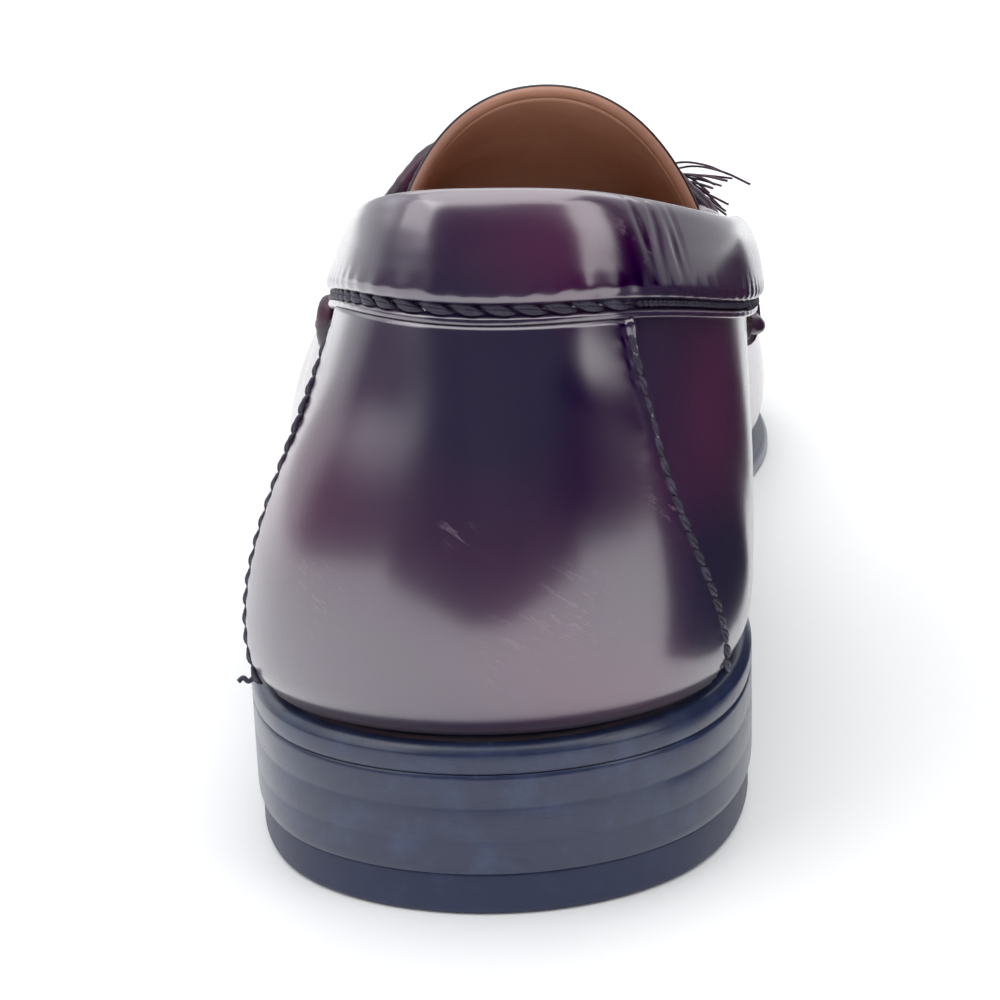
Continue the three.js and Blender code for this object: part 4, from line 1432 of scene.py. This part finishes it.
tassel = {
    "above": 0.6,  # its cap over the apron, and how far ahead of the lace's end it starts
    "cap": (  # along its axis, radius
        (0, 0.3), (0.02, 0.55), (0.07, 0.76), (0.14, 0.84), (0.26, 0.86), (0.3, 0.8), (0.33, 0.92),
        (0.37, 1.0), (0.42, 0.98), (0.45, 0.9), (0.48, 0.98), (0.53, 1.0), (0.57, 0.96), (0.6, 0.86),
        (0.7, 0.87), (0.86, 0.92), (0.98, 1.0), (1, 0.96), (0.98, 0.8),
    ),
    "tiers": ((13, 0.0, 1.55), (12, 1.2, 1.5), (9, 2.4, 1.45)),  # strips, height, width
    "thick": 0.85,
    "tucked": 0.22,  # share of the cap that hides the strips' tops
    "neck": 0.38,  # half the fringe's width in the cap, in shares of the cap's
    "inner": 0.92,  # how wide the upper tiers fan, over the lowest
    "shorter": 0.8,  # each tier than the one below
    "uneven": {"fan": (-0.06, 0.06), "long": (-2.2, 0.6), "wave": (0.1, 0.55), "phase": (0, 6), "curl": 1.6},
}
flyaways = {  # loose strands that stand off the inner tassel
    "count": 14,
    "from": (33.0, 146.0, 54.5),  # their tips lie between these two corners
    "to": (41.5, 156.0, 61.5),
    "arch": ((-0.8, 0.8), (2.0, 4.5), (0.8, 3.4)),
    "width": (0.45, 0.8),
    "thick": 0.4,
}


def strip(pile, line, width, thick, lift):
    _, high, across = runFrames(line, lift)
    corners = ((-1, -0.6), (-0.8, -1), (0.8, -1), (1, -0.6), (1, 0.6), (0.8, 1), (-0.8, 1), (-1, 0.6))
    ends = np.minimum(1, 0.5 + 8 * (1 - np.linspace(0, 1, len(line))))
    ring = np.stack([across * a * width / 2 * ends[:, None] + high * b * thick / 2 for a, b in corners], 1)
    points = line[:, None] + ring
    pile.add(points, ringed(points))


def addCap(side, begin, end):
    axis = end - begin
    turn = np.linspace(0, 2 * np.pi, 36, endpoint=False)
    across = unit(np.cross(axis, np.array([0, 0, 1.0])))
    high = unit(np.cross(across, axis))
    rings = []
    for along, radius in tassel["cap"]:
        ripple = 1 + 0.02 * np.cos(turn * 9 + along * 6)
        around = across * (np.cos(turn) * ripple)[:, None] + high * (np.sin(turn) * ripple)[:, None]
        rings.append(begin + axis * along + around * radius * lace["capWide"] / 2)
    pile = Pile()
    pile.add(np.array(rings), ringed(np.array(rings)))
    return pile.piece(f"tasselCap_{side}", finishes["lace"], "lace_leather")


def addFringe(pile, spot, beside, capLift, draw):
    tucked = lace["cap"] * tassel["tucked"]
    uneven = tassel["uneven"]
    for tier, (count, height, width) in enumerate(tassel["tiers"]):
        share = tassel["inner"] if tier else 1
        spread, narrow = lace["spread"] / 2 * share, lace["capWide"] * tassel["neck"] * share
        for i in range(count):
            fan = 2 * (i + 0.5) / count - 1 + draw.uniform(*uneven["fan"])
            long = lace["fringe"] + draw.uniform(*uneven["long"]) - tier * tassel["shorter"]
            wave, phase = draw.uniform(*uneven["wave"]), draw.uniform(*uneven["phase"])
            curl = draw.uniform(0, 1) ** 3 * uneven["curl"]
            points, lifts = [], []
            for s in np.linspace(0, 1, 9):
                forward = lace["cap"] - tucked + s * (long + tucked)
                aside = fan * mix(narrow, spread, s**0.9) + wave * math.sin(phase + 5 * s) * s
                level = height * (math.cos(fan * 1.2) if s < 0.2 else 1)
                raised = mix(capLift - 2.4 + level * 1.7, 0.75 + level, min(1, s * 1.5) ** 0.6)
                point, normal = spot(forward, aside, raised + curl * s**3)
                points.append(point)
                lifts.append(normal + beside * fan * 0.3)
            strip(pile, smoothLine(points, 3), width, tassel["thick"], smoothLine(lifts, 3))


def addFlyaways(pile, end, axis, draw):
    for _ in range(flyaways["count"]):
        tip = np.array([draw.uniform(a, b) for a, b in zip(flyaways["from"], flyaways["to"])])
        arch = np.array([draw.uniform(*span) for span in flyaways["arch"]])
        middle = mix(end, tip, 0.5) + arch
        bent = mix(middle, tip, 0.55) + arch * [0.5, 0.1, 0.3]
        line = smoothLine([end - axis * 2.0, end + axis * 2.0, middle, bent, tip], 8)
        lift = np.tile(np.array([-0.25, 0.2, 1.0]), (len(line), 1))
        strip(pile, line, draw.uniform(*flyaways["width"]), flyaways["thick"], lift)


def addTassel(way, side, draw):
    spot, beside = tasselFrame(way)
    above = tassel["above"]
    capLift = lace["capWide"] / 2 + above
    begin, end = (spot(forward, 0, capLift)[0] for forward in (above, above + lace["cap"]))
    axis = unit(end - begin)
    cap = addCap(side, begin, end)
    fringe = Pile()
    addFringe(fringe, spot, beside, capLift, draw)
    if way > 0:
        addFlyaways(fringe, end, axis, draw)
    strands = fringe.piece(f"tasselFringe_{side}", finishes["lace"], "lace_leather")
    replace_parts(strands, f"tassel_{side}")
    line = smoothLine([*endLine(way), begin + axis * 1.2], 12)
    rope = Pile()
    rope.add(*tube(line, lace["wide"] / 2, 14, 0.9))
    made = rope.piece(f"laceEnd_{side}", finishes["lace"], "lace_leather")
    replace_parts(made, f"lace_end_{side}")
    long = float(lineLength(line)[-1]) * mm


draw = random.Random(7)
addTassel(-1, "out", draw)
addTassel(1, "in", draw)
print("lace, knot and tassels made")

# Studio: a pale floor, soft boxes left, right and above, and a dark gap behind the eye

studio = {
    "middle": (0, 0.11, 0.04),
    "floor": {"pale": (0.9, 0.905, 0.91), "half": 6.0, "cloud": 220.0, "glowFrom": 350.0, "glowTo": 1400.0},
    "back": (1.0, 1.0, 1.0),
    "boxes": (  # name, azimuth from behind the shoe, height in degrees, far, wide, tall, watts, reflected
        ("left", -58, 40, 1.2, 0.95, 0.72, 2.8, True),
        ("right", 60, 30, 1.2, 0.55, 0.72, 2.6, True),
        ("above", 0, 78, 1.1, 1.5, 1.4, 11.0, True),
        ("front", 172, 48, 1.5, 1.8, 1.0, 7.0, True),
        ("fill", 3, 12, 1.5, 0.4, 0.3, 7.0, False),
    ),
    "cards": (  # name, colour, corners; only polish sees them
        ("darkRoom", (0.02, 0.018, 0.03), (
            (-14, -175, 1), (24, -175, 1), (110, -270, 1), (520, -640, 1),
            (5000, -5900, 1), (-5000, -5900, 1), (-520, -640, 1), (-95, -270, 1),
        )),
        ("otherShoe", (0.02, 0.012, 0.035), ((78, -38, 0), (66, 105, 0), (66, 105, 70), (78, -38, 74))),
    ),
    "sky": {
        "light": (0.95, 0.97, 1.0),
        "glow": 0.6,
        "parts": (  # axis, from, to, height from, to, added glow
            ("Y", 0.5, 0.0, 0.9, 0.66, -0.57),
            ("X", -0.35, -0.7, 0.14, 0.36, 0.7),
            ("X", 0.35, 0.8, 0.5, 0.15, -0.25),
        ),
    },
}


def addCard(name, colour, corners):
    mesh = bpy.data.meshes.new(name)
    mesh.from_pydata([tuple(c * mm for c in corner) for corner in corners], [], [tuple(range(len(corners)))])
    card = bpy.data.objects.new(name, mesh)
    bpy.context.scene.collection.objects.link(card)
    paint = Shader(name + "Paint")
    mesh.materials.append(paint.finish(**{"Base Color": (*colour, 1), "Roughness": 0.9}))
    card.visible_camera = card.visible_diffuse = card.visible_shadow = card.visible_transmission = False


def addBoxes():
    middle = Vector(studio["middle"])
    for name, azimuth, height, far, across, tallness, power, reflected in studio["boxes"]:
        light = bpy.data.lights.new(name, "AREA")
        light.shape = "RECTANGLE"
        light.size, light.size_y, light.energy = across, tallness, power
        a, e = math.radians(azimuth), math.radians(height)
        away = Vector((math.sin(a) * math.cos(e), -math.cos(a) * math.cos(e), math.sin(e)))
        box = bpy.data.objects.new(name + "Box", light)
        box.location = middle + away * far
        box.rotation_euler = away.to_track_quat("Z", "Y").to_euler()
        box.visible_glossy = reflected
        bpy.context.scene.collection.objects.link(box)


def addFloor():  # it glows beyond the shoe, so that it runs into the white behind
    look = studio["floor"]
    half = look["half"]
    mesh = bpy.data.meshes.new("floor")
    corners = [(-half, -half, 0), (half, -half, 0), (half, half, 0), (-half, half, 0)]
    mesh.from_pydata(corners, [], [(0, 1, 2, 3)])
    floor = bpy.data.objects.new("floor", mesh)
    bpy.context.scene.collection.objects.link(floor)
    paint = Shader("paleFloor")
    point = paint.spots()
    shade = paint.noise(point, look["cloud"], 2.0)
    away = paint.node("ShaderNodeVectorMath", {"operation": "LENGTH"}, {0: point}, "Value")
    far = paint.fade(away, look["glowFrom"], look["glowTo"])
    mesh.materials.append(paint.finish(**{
        "Base Color": paint.blend(shade, look["pale"], tuple(c * 0.98 for c in look["pale"])),
        "Roughness": 0.6 + shade * 0.1,
        "Emission Color": paint.blend(far, (0.0, 0.0, 0.0), studio["back"]),
        "Emission Strength": 0.8,
    }))


def addWorld():
    world = bpy.data.worlds.new("studioWorld")
    world.use_nodes = True
    bpy.context.scene.world = world
    world.node_tree.nodes.clear()
    sky = Shader.__new__(Shader)
    sky.tree = world.node_tree
    look = studio["sky"]
    way = sky.node("ShaderNodeTexCoord", result="Generated")
    along = {axis: sky.node("ShaderNodeSeparateXYZ", None, {0: way}, axis) for axis in "XYZ"}
    glow = look["glow"]
    for axis, begin, end, low, high, more in look["parts"]:
        glow = glow + sky.fade(along[axis], begin, end) * sky.fade(along["Z"], low, high) * more
    shown = sky.node("ShaderNodeLightPath", result="Is Camera Ray")
    seen = sky.node("ShaderNodeBackground", None, {"Color": (*studio["back"], 1), "Strength": 1.0})
    lit = sky.node("ShaderNodeBackground", None, {"Color": (*look["light"], 1), "Strength": glow})
    both = sky.node("ShaderNodeMixShader", None, {0: shown, 1: lit, 2: seen})
    sky.put(sky.tree.nodes.new("ShaderNodeOutputWorld"), {"Surface": both})
    bpy.context.scene.view_settings.view_transform = "Standard"


addBoxes()
addFloor()
for card in studio["cards"]:
    addCard(*card)
addWorld()
print("studio made")
